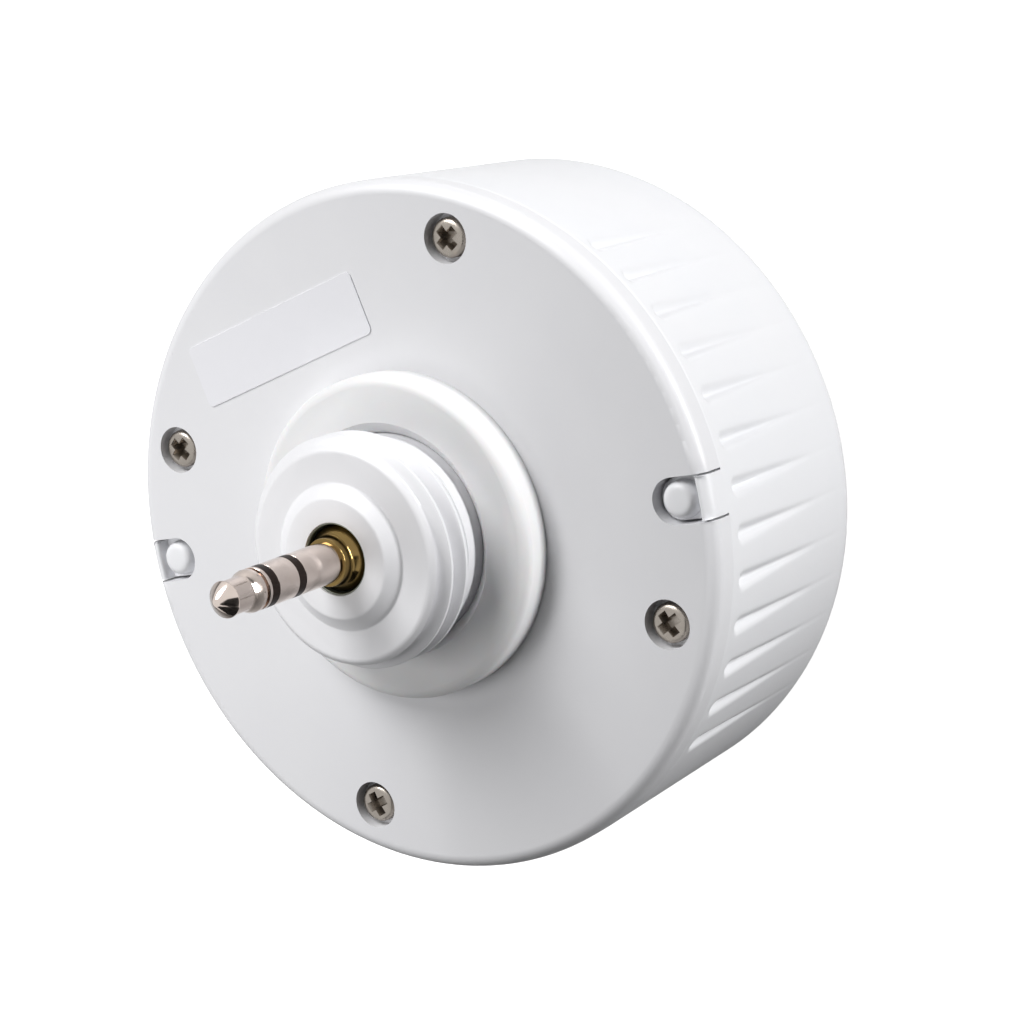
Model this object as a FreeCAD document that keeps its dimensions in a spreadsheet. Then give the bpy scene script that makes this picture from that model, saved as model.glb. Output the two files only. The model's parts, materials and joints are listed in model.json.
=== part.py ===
import FreeCAD, Part
import math
import os
import re
import Sketcher

# Plug-in ceiling occupancy sensor. It screws into a light fitting by its threaded neck, and its
# three-pole audio plug carries power and the control signal.
# +Z runs up the neck and the plug, into the fitting. The origin is on the neck's axis, in the
# plane where the neck's gasket meets the fitting. The sensing lens looks down, along -Z.

doc = FreeCAD.newDocument("occupancy_sensor")

# Driving sizes in millimetres and degrees
SIZES = [
    ("bodyRadius", 30.0, "outer radius where the cover meets the housing"),
    ("draftInset", 0.6, "lens side's radius smaller than the cover's, the moulding draft"),
    ("bodyDepth", 25.0, "back face to lens side face"),
    ("wallThickness", 2.0, "side wall of the housing"),
    ("floorThickness", 2.0, "lens side wall of the housing"),
    ("frontEdgeRound", 1.2, "round on the housing's lens side edge"),
    ("coverThickness", 2.6, "plate of the rear cover"),
    ("coverEdgeRound", 1.25, "round on the rear cover's outer edge"),
    ("gasketHeight", 3.0, "neck gasket, from the back face to the fitting"),
    ("gasketWidth", 4.0, "neck gasket, from the neck outwards"),
    ("gasketEdgeRound", 0.9, "round on the gasket's outer top edge"),
    ("neckRadius", 10.0, "outer radius of the neck's thread"),
    ("neckRelief", 1.0, "neck inside the gasket, in from the thread"),
    ("neckHeight", 6.5, "neck above the gasket"),
    ("neckChamfer", 1.1, "lead-in at the neck's end"),
    ("neckWall", 2.7, "wall round the moulding core inside the neck"),
    ("neckRoof", 2.3, "thickness of the neck's end wall"),
    ("bossBaseRadius", 6.2, "foot of the raised boss round the plug"),
    ("bossTopRadius", 5.1, "top of the raised boss"),
    ("bossHeight", 0.9, "boss above the neck's end"),
    ("plugHoleRadius", 3.05, "open hole round the plug"),
    ("plugHoleDepth", 5.4, "depth of that hole from the boss's top"),
    ("plugTubeRadius", 4.5, "tube that holds the plug inside the neck"),
    ("plugTubeDrop", 1.4, "tube below the cover's inner face"),
    ("fitGap", 0.05, "radial gap of fixed fits"),
    ("screwInset", 4.2, "cover screws, in from the rim"),
    ("screwAngle", 67.5, "first cover screw, from +X"),
    ("screwHeadRadius", 1.7, "cover screw head"),
    ("screwHeadHeight", 1.3, "cover screw head"),
    ("screwHeadEdge", 0.3, "chamfer on the head"),
    ("screwRadius", 1.2, "cover screw shank"),
    ("screwLength", 8.0, "cover screw below its head"),
    ("screwCrossWidth", 0.7, "arm of the cross recess"),
    ("screwCrossSpan", 2.2, "span of the cross recess"),
    ("screwCrossDepth", 0.8, "depth of the cross recess"),
    ("counterboreRadius", 2.1, "counterbore for a screw head"),
    ("counterboreDepth", 1.45, "counterbore for a screw head"),
    ("screwHoleRadius", 1.4, "clearance hole in the cover"),
    ("screwBossRadius", 2.7, "screw boss in the housing"),
    ("notchInset", 3.35, "keyed notch's round end, in from the rim"),
    ("notchHalfWidth", 1.95, "half the width of a keyed notch"),
    ("keyGap", 0.18, "gap between notch and key"),
    ("keyDrop", 1.3, "key's floor below the back face"),
    ("keyDepth", 6.0, "key's root below the cover"),
    ("keyLip", 1.2, "key's raised outer lip, along the radius"),
    ("postInset", 3.0, "round post on the key, in from the rim"),
    ("postRadius", 1.6, "round post on the key"),
    ("postTopRadius", 1.2, "post at its chamfered top"),
    ("postChamfer", 0.3, "height of the post's chamfer"),
    ("gripCount", 13, "grip grooves round each key"),
    ("gripPitch", 7.4, "angle between grip grooves"),
    ("gripDepth", 0.72, "groove's edge, from the axis of its pyramids"),
    ("gripRelief", 0.12, "pyramids' axis outside the wall"),
    ("gripStart", 1.9, "groove's deepest place, below the cover"),
    ("gripNose", 0.7, "short pyramid from there up to the blunt end"),
    ("gripTail", 15.6, "long pyramid from there down to the point"),
    ("sealInset", 7.35, "housing seal, in from the rim"),
    ("sealThickness", 1.3, "section of the housing seal"),
    ("sealGrooveDepth", 0.9, "seal groove in the cover"),
    ("sealWall", 1.5, "wall that carries the seal"),
    ("boardGap", 0.3, "main board to the seal wall"),
    ("boardThickness", 1.6, "main board"),
    ("ledgeWidth", 2.0, "ledge under the main board's edge"),
    ("ledgeHeight", 8.4, "ledge above the housing's floor"),
    ("lugRadius", 1.8, "lug for a main board screw"),
    ("lugDepth", 4.4, "lug below the main board"),
    ("boardScrewInset", 2.0, "main board screws, in from the seal wall"),
    ("smallScrewRadius", 0.8, "small screw shank"),
    ("smallHeadRadius", 1.5, "small screw head"),
    ("smallHeadHeight", 1.1, "small screw head"),
    ("smallScrewLength", 4.5, "small screw below its head"),
    ("lensRadius", 14.5, "lens dome where it leaves the housing"),
    ("lensWall", 0.9, "lens wall"),
    ("lensHeight", 9.0, "lens dome's rise"),
    ("lensStep", 0.3, "straight part of the lens below the housing"),
    ("lensGap", 0.2, "lens to the housing's opening"),
    ("lensFlange", 1.2, "flange beyond the dome"),
    ("flangeThickness", 1.0, "lens flange"),
    ("lensSealThickness", 0.4, "seal under the lens flange"),
    ("retainerHeight", 1.2, "ring that holds the lens down, above the flange"),
    ("retainerWall", 0.9, "that ring's wall outside the flange"),
    ("plugReach", 22.6, "plug's point above the gasket"),
    ("plugRadius", 1.75, "three and a half millimetre plug"),
    ("tipLength", 5.0, "plug's point to the first insulator"),
    ("tipNeckRadius", 1.42, "waist behind the point"),
    ("tipNoseRadius", 1.5, "widest part of the point"),
    ("tipNoseLength", 1.15, "conical point"),
    ("tipRimLength", 0.95, "tip at full width, ahead of the first insulator"),
    ("tipShoulderLength", 1.0, "slope from the waist out to full width"),
    ("tipFlatRadius", 0.35, "blunt end of the point"),
    ("bandWidth", 0.9, "insulator ring"),
    ("ringLength", 2.5, "ring contact"),
    ("coreRadius", 0.45, "tip's rod"),
    ("tubeStep", 0.25, "wall of each nested tube"),
    ("plugLength", 14.0, "plug's point to its collar"),
    ("shankStep", 0.25, "sleeve's shank thinner than its contact"),
    ("collarRadius", 2.05, "brass collar at the plug's root"),
    ("collarChamfer", 0.15, "chamfer on the collar's end"),
    ("collarFlangeRadius", 3.9, "collar's flange inside the cover"),
    ("collarFlangeHeight", 1.2, "collar's flange"),
    ("lugLength", 2.2, "solder tails below the plug board"),
    ("plugBoardRadius", 14.5, "small board under the plug"),
    ("plugBoardThickness", 1.2, "small board under the plug"),
    ("plugBoardPost", 11.5, "plug board's screws, from the axis"),
    ("plugPostRadius", 2.2, "post for a plug board screw"),
    ("headerLength", 7.6, "three-way header"),
    ("headerWidth", 2.5, "three-way header"),
    ("headerHeight", 2.5, "header's block"),
    ("headerPitch", 2.54, "header's pins"),
    ("headerY", 7.0, "header, from the axis"),
    ("pinWidth", 0.64, "header's square pins"),
    ("socketFloor", 1.0, "socket below its pins"),
    ("socketGap", 0.1, "header block to socket"),
    ("detectorRadius", 4.1, "infrared detector's can"),
    ("detectorRimRadius", 4.6, "rim of the can"),
    ("detectorRimHeight", 0.8, "rim of the can"),
    ("detectorHeight", 4.6, "can, with its rim"),
    ("detectorLead", 0.23, "radius of the detector's leads"),
    ("spacerHeight", 1.2, "spacer under the can"),
    ("windowLength", 5.0, "detector's window"),
    ("windowWidth", 4.0, "detector's window"),
    ("windowDepth", 0.4, "detector's window"),
    ("eyeX", 8.8, "light sensor and status light, from the axis"),
    ("eyeY", 5.5, "light sensor and status light, from the axis"),
    ("sensorLength", 3.2, "light sensor"),
    ("sensorWidth", 2.8, "light sensor"),
    ("sensorHeight", 1.1, "light sensor"),
    ("sensorEyeRadius", 1.1, "light sensor's eye"),
    ("sensorEyeHeight", 0.7, "light sensor's eye"),
    ("lampRadius", 1.5, "status light"),
    ("lampRimRadius", 1.9, "rim of the status light"),
    ("lampRimHeight", 1.0, "rim of the status light"),
    ("lampHeight", 5.3, "status light, with its rim"),
    ("receiverY", -9.5, "remote receiver, from the axis"),
    ("receiverLength", 6.8, "remote receiver"),
    ("receiverWidth", 5.2, "remote receiver"),
    ("receiverHeight", 2.6, "remote receiver"),
    ("receiverEyeRadius", 2.2, "receiver's eye"),
    ("receiverEyeHeight", 1.8, "receiver's eye"),
    ("chipStandoff", 0.15, "chip's body above the board"),
    ("chipHeight", 1.3, "chip's body"),
    ("chipLegWidth", 0.4, "chip's leg"),
    ("chipLegLength", 1.1, "chip's leg"),
    ("controllerX", -9.0, "microcontroller's centre"),
    ("controllerY", -3.0, "microcontroller's centre"),
    ("controllerLength", 6.5, "microcontroller"),
    ("controllerWidth", 4.4, "microcontroller"),
    ("amplifierX", 4.0, "signal amplifier's centre"),
    ("amplifierY", -5.0, "signal amplifier's centre"),
    ("amplifierLength", 5.0, "signal amplifier"),
    ("amplifierWidth", 3.9, "signal amplifier"),
    ("regulatorX", 10.8, "voltage regulator's centre"),
    ("regulatorY", -4.0, "voltage regulator's centre"),
    ("regulatorLength", 6.5, "voltage regulator"),
    ("regulatorWidth", 3.5, "voltage regulator"),
    ("regulatorHeight", 1.6, "voltage regulator"),
    ("regulatorTabWidth", 1.8, "regulator's tab"),
    ("canInset", 4.6, "power capacitors, in from the seal wall"),
    ("canRadius", 2.5, "power capacitor's can"),
    ("canHeight", 5.5, "power capacitor, with its base"),
    ("canBaseSide", 5.3, "power capacitor's base"),
    ("canBaseHeight", 1.0, "power capacitor's base"),
    ("smallPitch", 2.4, "small chips in a row"),
    ("smallLength", 2.0, "small chip"),
    ("smallWidth", 1.2, "small chip"),
    ("ceramicY", -9.1, "ceramic capacitors, from the axis"),
    ("ceramicHeight", 0.9, "ceramic capacitor"),
    ("resistorY", 13.0, "resistors, from the axis"),
    ("resistorHeight", 0.5, "resistor"),
    ("labelLength", 19.9, "bare label"),
    ("labelWidth", 5.6, "bare label"),
    ("labelThickness", 0.1, "bare label"),
    ("labelTurn", 12.0, "label's turn about the axis"),
    ("labelX", -9.75, "label's centre"),
    ("labelInset", 12.05, "label's centre, in from the rim"),
]

sheet = doc.addObject("Spreadsheet::Sheet", "Sizes")
for row, (alias, number, note) in enumerate(SIZES, start=1):
    sheet.set(f"A{row}", note)
    sheet.set(f"B{row}", str(number))
    sheet.setAlias(f"B{row}", alias)
doc.recompute()
ALIASES = {alias for alias, number, note in SIZES}


def in_sheet(text):
    """Writes an expression with each size's name led by the sheet's name."""
    return re.sub(r"[A-Za-z]+", lambda m: f"Sizes.{m[0]}" if m[0] in ALIASES else m[0], str(text))


def value(text):
    return float(sheet.evalExpression(in_sheet(text)))


def bind(thing, **sizes):
    """Ties properties to expressions of the sheet's sizes."""
    for name, text in sizes.items():
        thing.setExpression(name, in_sheet(text))


def place(thing, x="0", y="0", z="0", turn="0"):
    """Moves a thing and turns it about the vertical."""
    for axis, text in zip("xyz", (x, y, z)):
        thing.setExpression(f"Placement.Base.{axis}", in_sheet(text))
    thing.Placement.Rotation = FreeCAD.Rotation(FreeCAD.Vector(0, 0, 1), 0)
    if turn != "0":
        thing.setExpression("Placement.Rotation.Angle", in_sheet(turn))


# Levels and radii that several pieces share, as expressions
BACK = "(0 - gasketHeight)"
PARTING = f"({BACK} - coverThickness)"
FRONT = f"({BACK} - bodyDepth)"
FLOOR = f"({FRONT} + floorThickness)"
LEDGE = f"({FLOOR} + ledgeHeight)"
BOARD_TOP = f"({LEDGE} + boardThickness)"
BOSS_TOP = "(neckHeight + bossHeight)"
TUBE_END = f"({PARTING} - plugTubeDrop)"
COLLAR_END = "(plugReach - plugLength)"
SHANK_RADIUS = "(plugRadius - shankStep)"
PLUG_BOARD_TOP = f"({TUBE_END} - collarFlangeHeight)"
PLUG_BOARD_END = f"({PLUG_BOARD_TOP} - plugBoardThickness)"
SEAL_TOP = f"({PARTING} + sealGrooveDepth)"
SEAL_LAND = f"({SEAL_TOP} - sealThickness)"
FRONT_RADIUS = "(bodyRadius - draftInset)"
GASKET_RADIUS = "(neckRadius + gasketWidth)"
RELIEF_RADIUS = "(neckRadius - neckRelief)"
SCREW_CIRCLE = "(bodyRadius - screwInset)"
NOTCH_CENTRE = "(bodyRadius - notchInset)"
POST_CENTRE = "(bodyRadius - postInset)"
SEAL_CIRCLE = "(bodyRadius - sealInset)"
SEAL_WALL_IN = f"({SEAL_CIRCLE} - sealWall / 2)"
SEAL_WALL_OUT = f"({SEAL_CIRCLE} + sealWall / 2)"
BOARD_SCREWS = f"({SEAL_WALL_IN} - boardScrewInset)"
LENS_FLANGE_END = f"({FLOOR} + lensSealThickness)"
LENS_FLANGE_TOP = f"({LENS_FLANGE_END} + flangeThickness)"
FLANGE_RADIUS = "(lensRadius + lensFlange)"
OPENING_RADIUS = "(lensRadius + lensGap)"
BAND_1 = "(plugReach - tipLength)"
RING_TOP = f"({BAND_1} - bandWidth)"
BAND_2 = f"({RING_TOP} - ringLength)"
SLEEVE_TOP = f"({BAND_2} - bandWidth)"


def new_body(name):
    body = doc.addObject("PartDesign::Body", name)
    body.Label = name
    return body


def new_sketch(body, role="XZ_Plane", height=None):
    """Starts a sketch on one of the body's own planes, raised to a height."""
    sketch = body.newObject("Sketcher::SketchObject", f"{body.Name}_sketch")
    base = next(plane for plane in body.Origin.OriginFeatures if plane.Role == role)
    sketch.AttachmentSupport = (base, [""])
    sketch.MapMode = "FlatFace"
    if height is not None:
        sketch.setExpression("AttachmentOffset.Base.z", in_sheet(height))
    return sketch


def hold_point(sketch, geometry, corner, x, y):
    """Holds one point of a sketch by its two coordinates, and puts a zero one on the axis."""
    for kind, text, axis in (("DistanceX", x, -2), ("DistanceY", y, -1)):
        if text is None:
            continue
        if text == "0":
            sketch.addConstraint(Sketcher.Constraint("PointOnObject", geometry, corner, axis))
        else:
            rule = Sketcher.Constraint(kind, -1, 1, geometry, corner, value(text))
            number = sketch.addConstraint(rule)
            sketch.setExpression(f"Constraints[{number}]", in_sheet(text))


def outline(sketch, points, arcs=None):
    """Draws a closed outline. arcs maps an edge to its centre's x and its sense, 1 for
    anticlockwise."""
    arcs = arcs or {}
    spots = [FreeCAD.Vector(value(x), value(y), 0) for x, y in points]
    edges = []
    for i, start in enumerate(spots):
        end = spots[(i + 1) % len(spots)]
        if i not in arcs:
            edges.append((sketch.addGeometry(Part.LineSegment(start, end), False), 1, 2))
            continue
        centre_x, sense = arcs[i]
        cx = value(centre_x)
        cy = (end.x**2 - start.x**2 + end.y**2 - start.y**2 - 2 * cx * (end.x - start.x))
        cy /= 2 * (end.y - start.y)
        first, last = (start, end) if sense > 0 else (end, start)
        circle = Part.Circle(FreeCAD.Vector(cx, cy, 0), FreeCAD.Vector(0, 0, 1),
                             math.hypot(start.x - cx, start.y - cy))
        begin = math.atan2(first.y - cy, first.x - cx)
        finish = math.atan2(last.y - cy, last.x - cx)
        number = sketch.addGeometry(Part.ArcOfCircle(circle, begin, finish), False)
        edges.append((number, 1, 2) if sense > 0 else (number, 2, 1))
    for i, (geometry, begin, finish) in enumerate(edges):
        following, its_begin, its_end = edges[(i + 1) % len(edges)]
        sketch.addConstraint(
            Sketcher.Constraint("Coincident", geometry, finish, following, its_begin))
        hold_point(sketch, geometry, begin, *points[i])
    for i, (centre_x, sense) in arcs.items():
        hold_point(sketch, edges[i][0], 3, centre_x, None)
    return sketch


def circle(sketch, x, y, radius):
    spot = FreeCAD.Vector(value(x), value(y), 0)
    geometry = sketch.addGeometry(
        Part.Circle(spot, FreeCAD.Vector(0, 0, 1), value(radius)), False)
    hold_point(sketch, geometry, 3, x, y)
    number = sketch.addConstraint(Sketcher.Constraint("Radius", geometry, value(radius)))
    sketch.setExpression(f"Constraints[{number}]", in_sheet(radius))
    return sketch


def axis_line(sketch, start, end):
    """Adds a construction line that a shape is turned about."""
    line = Part.LineSegment(FreeCAD.Vector(value(start[0]), value(start[1]), 0),
                            FreeCAD.Vector(value(end[0]), value(end[1]), 0))
    geometry = sketch.addGeometry(line, True)
    hold_point(sketch, geometry, 1, *start)
    hold_point(sketch, geometry, 2, *end)
    return "Axis0"


def feature(body, kind, sketch, **sizes):
    made = body.newObject(f"PartDesign::{kind}", f"{body.Name}_{kind.lower()}")
    made.Profile = sketch
    bind(made, **sizes)
    return made


def turned(body, sketch, axis="V_Axis", kind="Revolution"):
    made = feature(body, kind, sketch)
    made.ReferenceAxis = (sketch, [axis])
    made.Angle = 360.0
    return made


def padded(body, sketch, length, down=False):
    made = feature(body, "Pad", sketch, Length=length)
    made.Reversed = down
    return made


def pocketed(body, sketch, depth):
    """Cuts down from the sketch and checks that material went."""
    doc.recompute()
    before = body.Shape.Volume
    made = feature(body, "Pocket", sketch, Length=depth)
    doc.recompute()
    if made.Shape.Volume >= before - 1e-6:
        raise ValueError(f"a pocket in {body.Label} cuts nothing")
    return made


def ring_of(body, originals, axis_sketch, count, axis="N_Axis"):
    """Repeats features evenly round the full circle."""
    pattern = body.newObject("PartDesign::PolarPattern", f"{body.Name}_ring")
    pattern.Originals = originals
    pattern.Axis = (axis_sketch, [axis])
    pattern.Angle = 360.0
    pattern.Occurrences = count
    body.Tip = pattern
    return pattern


def rounded(body, base, radius, circles, kind="Fillet"):
    """Rounds the circular edges of base that have the given radius and height."""
    doc.recompute()
    wanted = [(value(r), value(z)) for r, z in circles]
    names = []
    for number, edge in enumerate(base.Shape.Edges, start=1):
        curve = edge.Curve
        if isinstance(curve, Part.Circle) and any(
                math.isclose(curve.Radius, r, abs_tol=1e-4)
                and math.isclose(curve.Center.z, z, abs_tol=1e-4) for r, z in wanted):
            names.append(f"Edge{number}")
    made = body.newObject(f"PartDesign::{kind}", f"{body.Name}_{kind.lower()}")
    made.Base = (base, names)
    bind(made, **{"Radius" if kind == "Fillet" else "Size": radius})
    return made


def ring_profile(inner, outer, low, high):
    return [(inner, low), (outer, low), (outer, high), (inner, high)]


def slot_outline(sketch, centre, half_width, reach):
    """A slot from a round inner end out to an arc about the main axis."""
    outer_x = f"sqrt({reach} * {reach} - {half_width} * {half_width})"
    points = [(outer_x, half_width), (centre, half_width),
              (centre, f"(0 - {half_width})"), (outer_x, f"(0 - {half_width})")]
    return outline(sketch, points, {1: (centre, 1), 3: ("0", 1)})


def polar(radius, angle):
    return f"({radius}) * cos({angle})", f"({radius}) * sin({angle})"


def box_of(name, x, y, z, length, width, height):
    """A block centred on x and y, standing on z."""
    block = doc.addObject("Part::Box", name)
    bind(block, Length=length, Width=width, Height=height)
    place(block, f"{x} - ({length}) / 2", f"{y} - ({width}) / 2", z)
    return block


def rod_of(name, x, y, z, radius, height):
    rod = doc.addObject("Part::Cylinder", name)
    bind(rod, Radius=radius, Height=height)
    place(rod, x, y, z)
    return rod


def joined(name, pieces):
    whole = doc.addObject("Part::MultiFuse", name)
    whole.Shapes = pieces
    whole.Label = name
    return whole


def grouped(name, pieces):
    """Keeps identical pieces as separate solids of one node."""
    group = doc.addObject("Part::Compound", name)
    group.Links = pieces
    group.Label = name
    return group


# Rear cover: plate, threaded neck with its moulding core, and the boss round the plug
def rear_cover():
    body = new_body("rear_cover")
    collar_bore = "(collarRadius + fitGap)"
    core_top = "(neckHeight - neckRoof)"
    core_radius = "(neckRadius - neckWall)"
    groove_in = f"({SEAL_CIRCLE} - sealThickness / 2 - fitGap)"
    groove_out = f"({SEAL_CIRCLE} + sealThickness / 2 + fitGap)"
    hole_floor = f"({BOSS_TOP} - plugHoleDepth)"
    profile = outline(new_sketch(body), [
        (collar_bore, TUBE_END), ("plugTubeRadius", TUBE_END), ("plugTubeRadius", core_top),
        (core_radius, core_top), (core_radius, PARTING), (groove_in, PARTING),
        (groove_in, SEAL_TOP), (groove_out, SEAL_TOP), (groove_out, PARTING),
        ("bodyRadius", PARTING), ("bodyRadius", BACK), (RELIEF_RADIUS, BACK),
        (RELIEF_RADIUS, "0"), ("neckRadius", "0"),
        ("neckRadius", "(neckHeight - neckChamfer)"),
        ("(neckRadius - neckChamfer)", "neckHeight"), ("bossBaseRadius", "neckHeight"),
        ("bossTopRadius", BOSS_TOP), ("plugHoleRadius", BOSS_TOP),
        ("plugHoleRadius", hole_floor), (collar_bore, hole_floor)])
    shell = turned(body, profile)
    rounded(body, shell, "coverEdgeRound", [("bodyRadius", BACK)])

    # Screw holes with counterbores, on a ring of four
    spot = polar(SCREW_CIRCLE, "screwAngle")
    hole = pocketed(body, circle(new_sketch(body, "XY_Plane", BACK), *spot, "screwHoleRadius"),
                    "coverThickness")
    sink_sketch = circle(new_sketch(body, "XY_Plane", BACK), *spot, "counterboreRadius")
    sink = pocketed(body, sink_sketch, "counterboreDepth")
    ring_of(body, [hole, sink], sink_sketch, 4)

    # Two keyed notches through the rim
    notch_sketch = slot_outline(new_sketch(body, "XY_Plane", BACK), NOTCH_CENTRE,
                                "notchHalfWidth", "(bodyRadius + wallThickness)")
    notch = pocketed(body, notch_sketch, "coverThickness")
    ring_of(body, [notch], notch_sketch, 2)

    # Posts that carry the plug board, with holes for its screws
    post_sketch = circle(new_sketch(body, "XY_Plane", PLUG_BOARD_TOP), "0", "plugBoardPost",
                         "plugPostRadius")
    post = padded(body, post_sketch, f"({PARTING} - {PLUG_BOARD_TOP})")
    posts = ring_of(body, [post], post_sketch, 2)
    doc.recompute()
    before = posts.Shape.Volume
    bore_sketch = circle(new_sketch(body, "XY_Plane", PLUG_BOARD_TOP), "0", "plugBoardPost",
                         "(smallScrewRadius + fitGap)")
    bore = feature(body, "Pocket", bore_sketch,
                   Length="(smallScrewLength - plugBoardThickness + 4 * fitGap)")
    bore.Reversed = True
    bores = ring_of(body, [bore], bore_sketch, 2)
    doc.recompute()
    if bores.Shape.Volume >= before:
        raise ValueError("the post bores cut nothing")
    return body


# Front housing: drafted cup with the seal wall, the board's ledge, keys, posts and grip grooves
def front_housing():
    body = new_body("front_housing")
    ledge_in = f"({SEAL_WALL_IN} - ledgeWidth)"
    wall_in = "(bodyRadius - wallThickness)"
    profile = outline(new_sketch(body), [
        (OPENING_RADIUS, FRONT), (FRONT_RADIUS, FRONT), ("bodyRadius", PARTING),
        (wall_in, PARTING), (f"({FRONT_RADIUS} - wallThickness)", FLOOR), (SEAL_WALL_OUT, FLOOR),
        (SEAL_WALL_OUT, SEAL_LAND), (SEAL_WALL_IN, SEAL_LAND), (SEAL_WALL_IN, LEDGE),
        (ledge_in, LEDGE), (ledge_in, FLOOR), (OPENING_RADIUS, FLOOR)])
    shell = turned(body, profile)
    rounded(body, shell, "frontEdgeRound", [(FRONT_RADIUS, FRONT)])

    # Cover screw bosses between the two walls
    spot = polar(SCREW_CIRCLE, "screwAngle")
    boss_sketch = circle(new_sketch(body, "XY_Plane", FLOOR), *spot, "screwBossRadius")
    boss = padded(body, boss_sketch, f"({PARTING} - {FLOOR})")
    ring_of(body, [boss], boss_sketch, 4)
    pilot_depth = "(screwLength + counterboreDepth - coverThickness + 4 * fitGap)"
    pilot_sketch = circle(new_sketch(body, "XY_Plane", PARTING), *spot,
                          "(screwRadius + fitGap)")
    pilot = pocketed(body, pilot_sketch, pilot_depth)
    ring_of(body, [pilot], pilot_sketch, 4)

    # Lugs for the main board's screws, under the ledge
    lug_low = f"({LEDGE} - lugDepth)"
    lug_sketch = circle(new_sketch(body, "XY_Plane", lug_low), "0", BOARD_SCREWS,
                        "lugRadius")
    lug = padded(body, lug_sketch, "lugDepth")
    ring_of(body, [lug], lug_sketch, 3)
    lug_bore_sketch = circle(new_sketch(body, "XY_Plane", LEDGE), "0", BOARD_SCREWS,
                             "(smallScrewRadius + fitGap)")
    lug_bore = pocketed(body, lug_bore_sketch,
                        "(smallScrewLength - boardThickness + 4 * fitGap)")
    ring_of(body, [lug_bore], lug_bore_sketch, 3)

    # Keys that fill the cover's notches: a root block, a floor, an outer lip and a post
    half = "(notchHalfWidth - keyGap)"
    key_floor = f"({BACK} - keyDrop)"
    key_low = f"({PARTING} - keyDepth)"
    root_out = f"({FRONT_RADIUS} - wallThickness / 2)"
    root = padded(body, outline(new_sketch(body, "XY_Plane", key_low), [
        (f"({SEAL_WALL_OUT} - sealWall / 2)", f"(0 - {half})"), (root_out, f"(0 - {half})"),
        (root_out, half), (f"({SEAL_WALL_OUT} - sealWall / 2)", half)]), "keyDepth")
    floor_sketch = slot_outline(new_sketch(body, "XY_Plane", PARTING), NOTCH_CENTRE, half,
                                "bodyRadius")
    floor = padded(body, floor_sketch, f"({key_floor} - {PARTING})")
    lip_in = "(bodyRadius - keyLip)"
    lip_out = f"sqrt(bodyRadius * bodyRadius - {half} * {half})"
    lip = padded(body, outline(new_sketch(body, "XY_Plane", key_floor), [
        (lip_in, f"(0 - {half})"), (lip_out, f"(0 - {half})"), (lip_out, half),
        (lip_in, half)], {1: ("0", 1)}), "keyDrop")
    post_sketch = new_sketch(body)
    post_axis = axis_line(post_sketch, (POST_CENTRE, key_floor), (POST_CENTRE, BACK))
    post_top = f"({BACK} - fitGap)"
    outline(post_sketch, [
        (POST_CENTRE, key_floor), (f"({POST_CENTRE} + postRadius)", key_floor),
        (f"({POST_CENTRE} + postRadius)", f"({post_top} - postChamfer)"),
        (f"({POST_CENTRE} + postTopRadius)", post_top), (POST_CENTRE, post_top)])
    post = turned(body, post_sketch, post_axis)
    ring_of(body, [root, floor, lip, post], floor_sketch, 2)

    # Clear step above the seal wall, so that the bosses leave the seal's seat free
    step_out = f"({SEAL_CIRCLE} + sealThickness / 2 + 3 * fitGap)"
    step_sketch = outline(new_sketch(body), ring_profile(
        f"({SEAL_WALL_IN} - fitGap)", step_out, SEAL_LAND, f"({PARTING} + keyGap)"))
    turned(body, step_sketch, kind="Groove")

    # Grip grooves: two square pyramids laid base to base and edge first along the drafted wall,
    # a long one down to the point and a short one up to the blunt end
    draft = "(draftInset / (bodyDepth - coverThickness))"
    half_side = "gripDepth / sqrt(2)"
    upright = next(line for line in body.Origin.OriginFeatures if line.Role == "Z_Axis")
    for name, length, lean in (("grip_tail", "gripTail", -90), ("grip_nose", "gripNose", 90)):
        doc.recompute()
        before = body.Shape.Volume
        grip = body.newObject("PartDesign::SubtractiveWedge", name)
        bind(grip, Xmin=f"0 - {half_side}", Xmax=half_side, Zmin=f"0 - {half_side}",
             Zmax=half_side, Ymin="0", Ymax=length, X2min="0", X2max="0", Z2min="0", Z2max="0")
        moves = [("0; 0; 0", "0; 0; 1", "0 - gripPitch * (gripCount - 1) / 2"),
                 (f"bodyRadius + gripRelief - {draft} * gripStart; 0; {PARTING} - gripStart",
                  "0; 1; 0", f"atan({draft})"),
                 ("0; 0; 0", "1; 0; 0", f"0 + {lean}"),
                 ("0; 0; 0", "0; 1; 0", "45")]
        bind(grip, Placement=" * ".join(
            f"placement(vector({spot}); rotation(vector({axis}); {angle}))"
            for spot, axis, angle in moves))
        doc.recompute()
        one_groove = before - body.Shape.Volume
        rows = body.newObject("PartDesign::MultiTransform", f"{name}_rows")
        rows.Originals = [grip]
        fan = body.newObject("PartDesign::PolarPattern", f"{name}_fan")
        fan.Axis = (upright, [""])
        bind(fan, Angle="gripPitch * (gripCount - 1)", Occurrences="gripCount")
        sides = body.newObject("PartDesign::PolarPattern", f"{name}_sides")
        sides.Axis = (upright, [""])
        sides.Angle = 360.0
        sides.Occurrences = 2
        rows.Transformations = [fan, sides]
        body.Tip = rows
        doc.recompute()
        if before - rows.Shape.Volume < one_groove * (2 * value("gripCount") - 1):
            raise ValueError(f"some {name} grooves are missing")
    return body


def neck_gasket():
    body = new_body("neck_gasket")
    inner = f"({RELIEF_RADIUS} + fitGap)"
    ring = turned(body, outline(new_sketch(body), [
        (inner, BACK), (GASKET_RADIUS, BACK), (GASKET_RADIUS, "0"),
        ("(neckRadius + fitGap)", "0"), (inner, "(0 - neckRelief)")]))
    rounded(body, ring, "gasketEdgeRound", [(GASKET_RADIUS, "0")])
    return body


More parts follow.
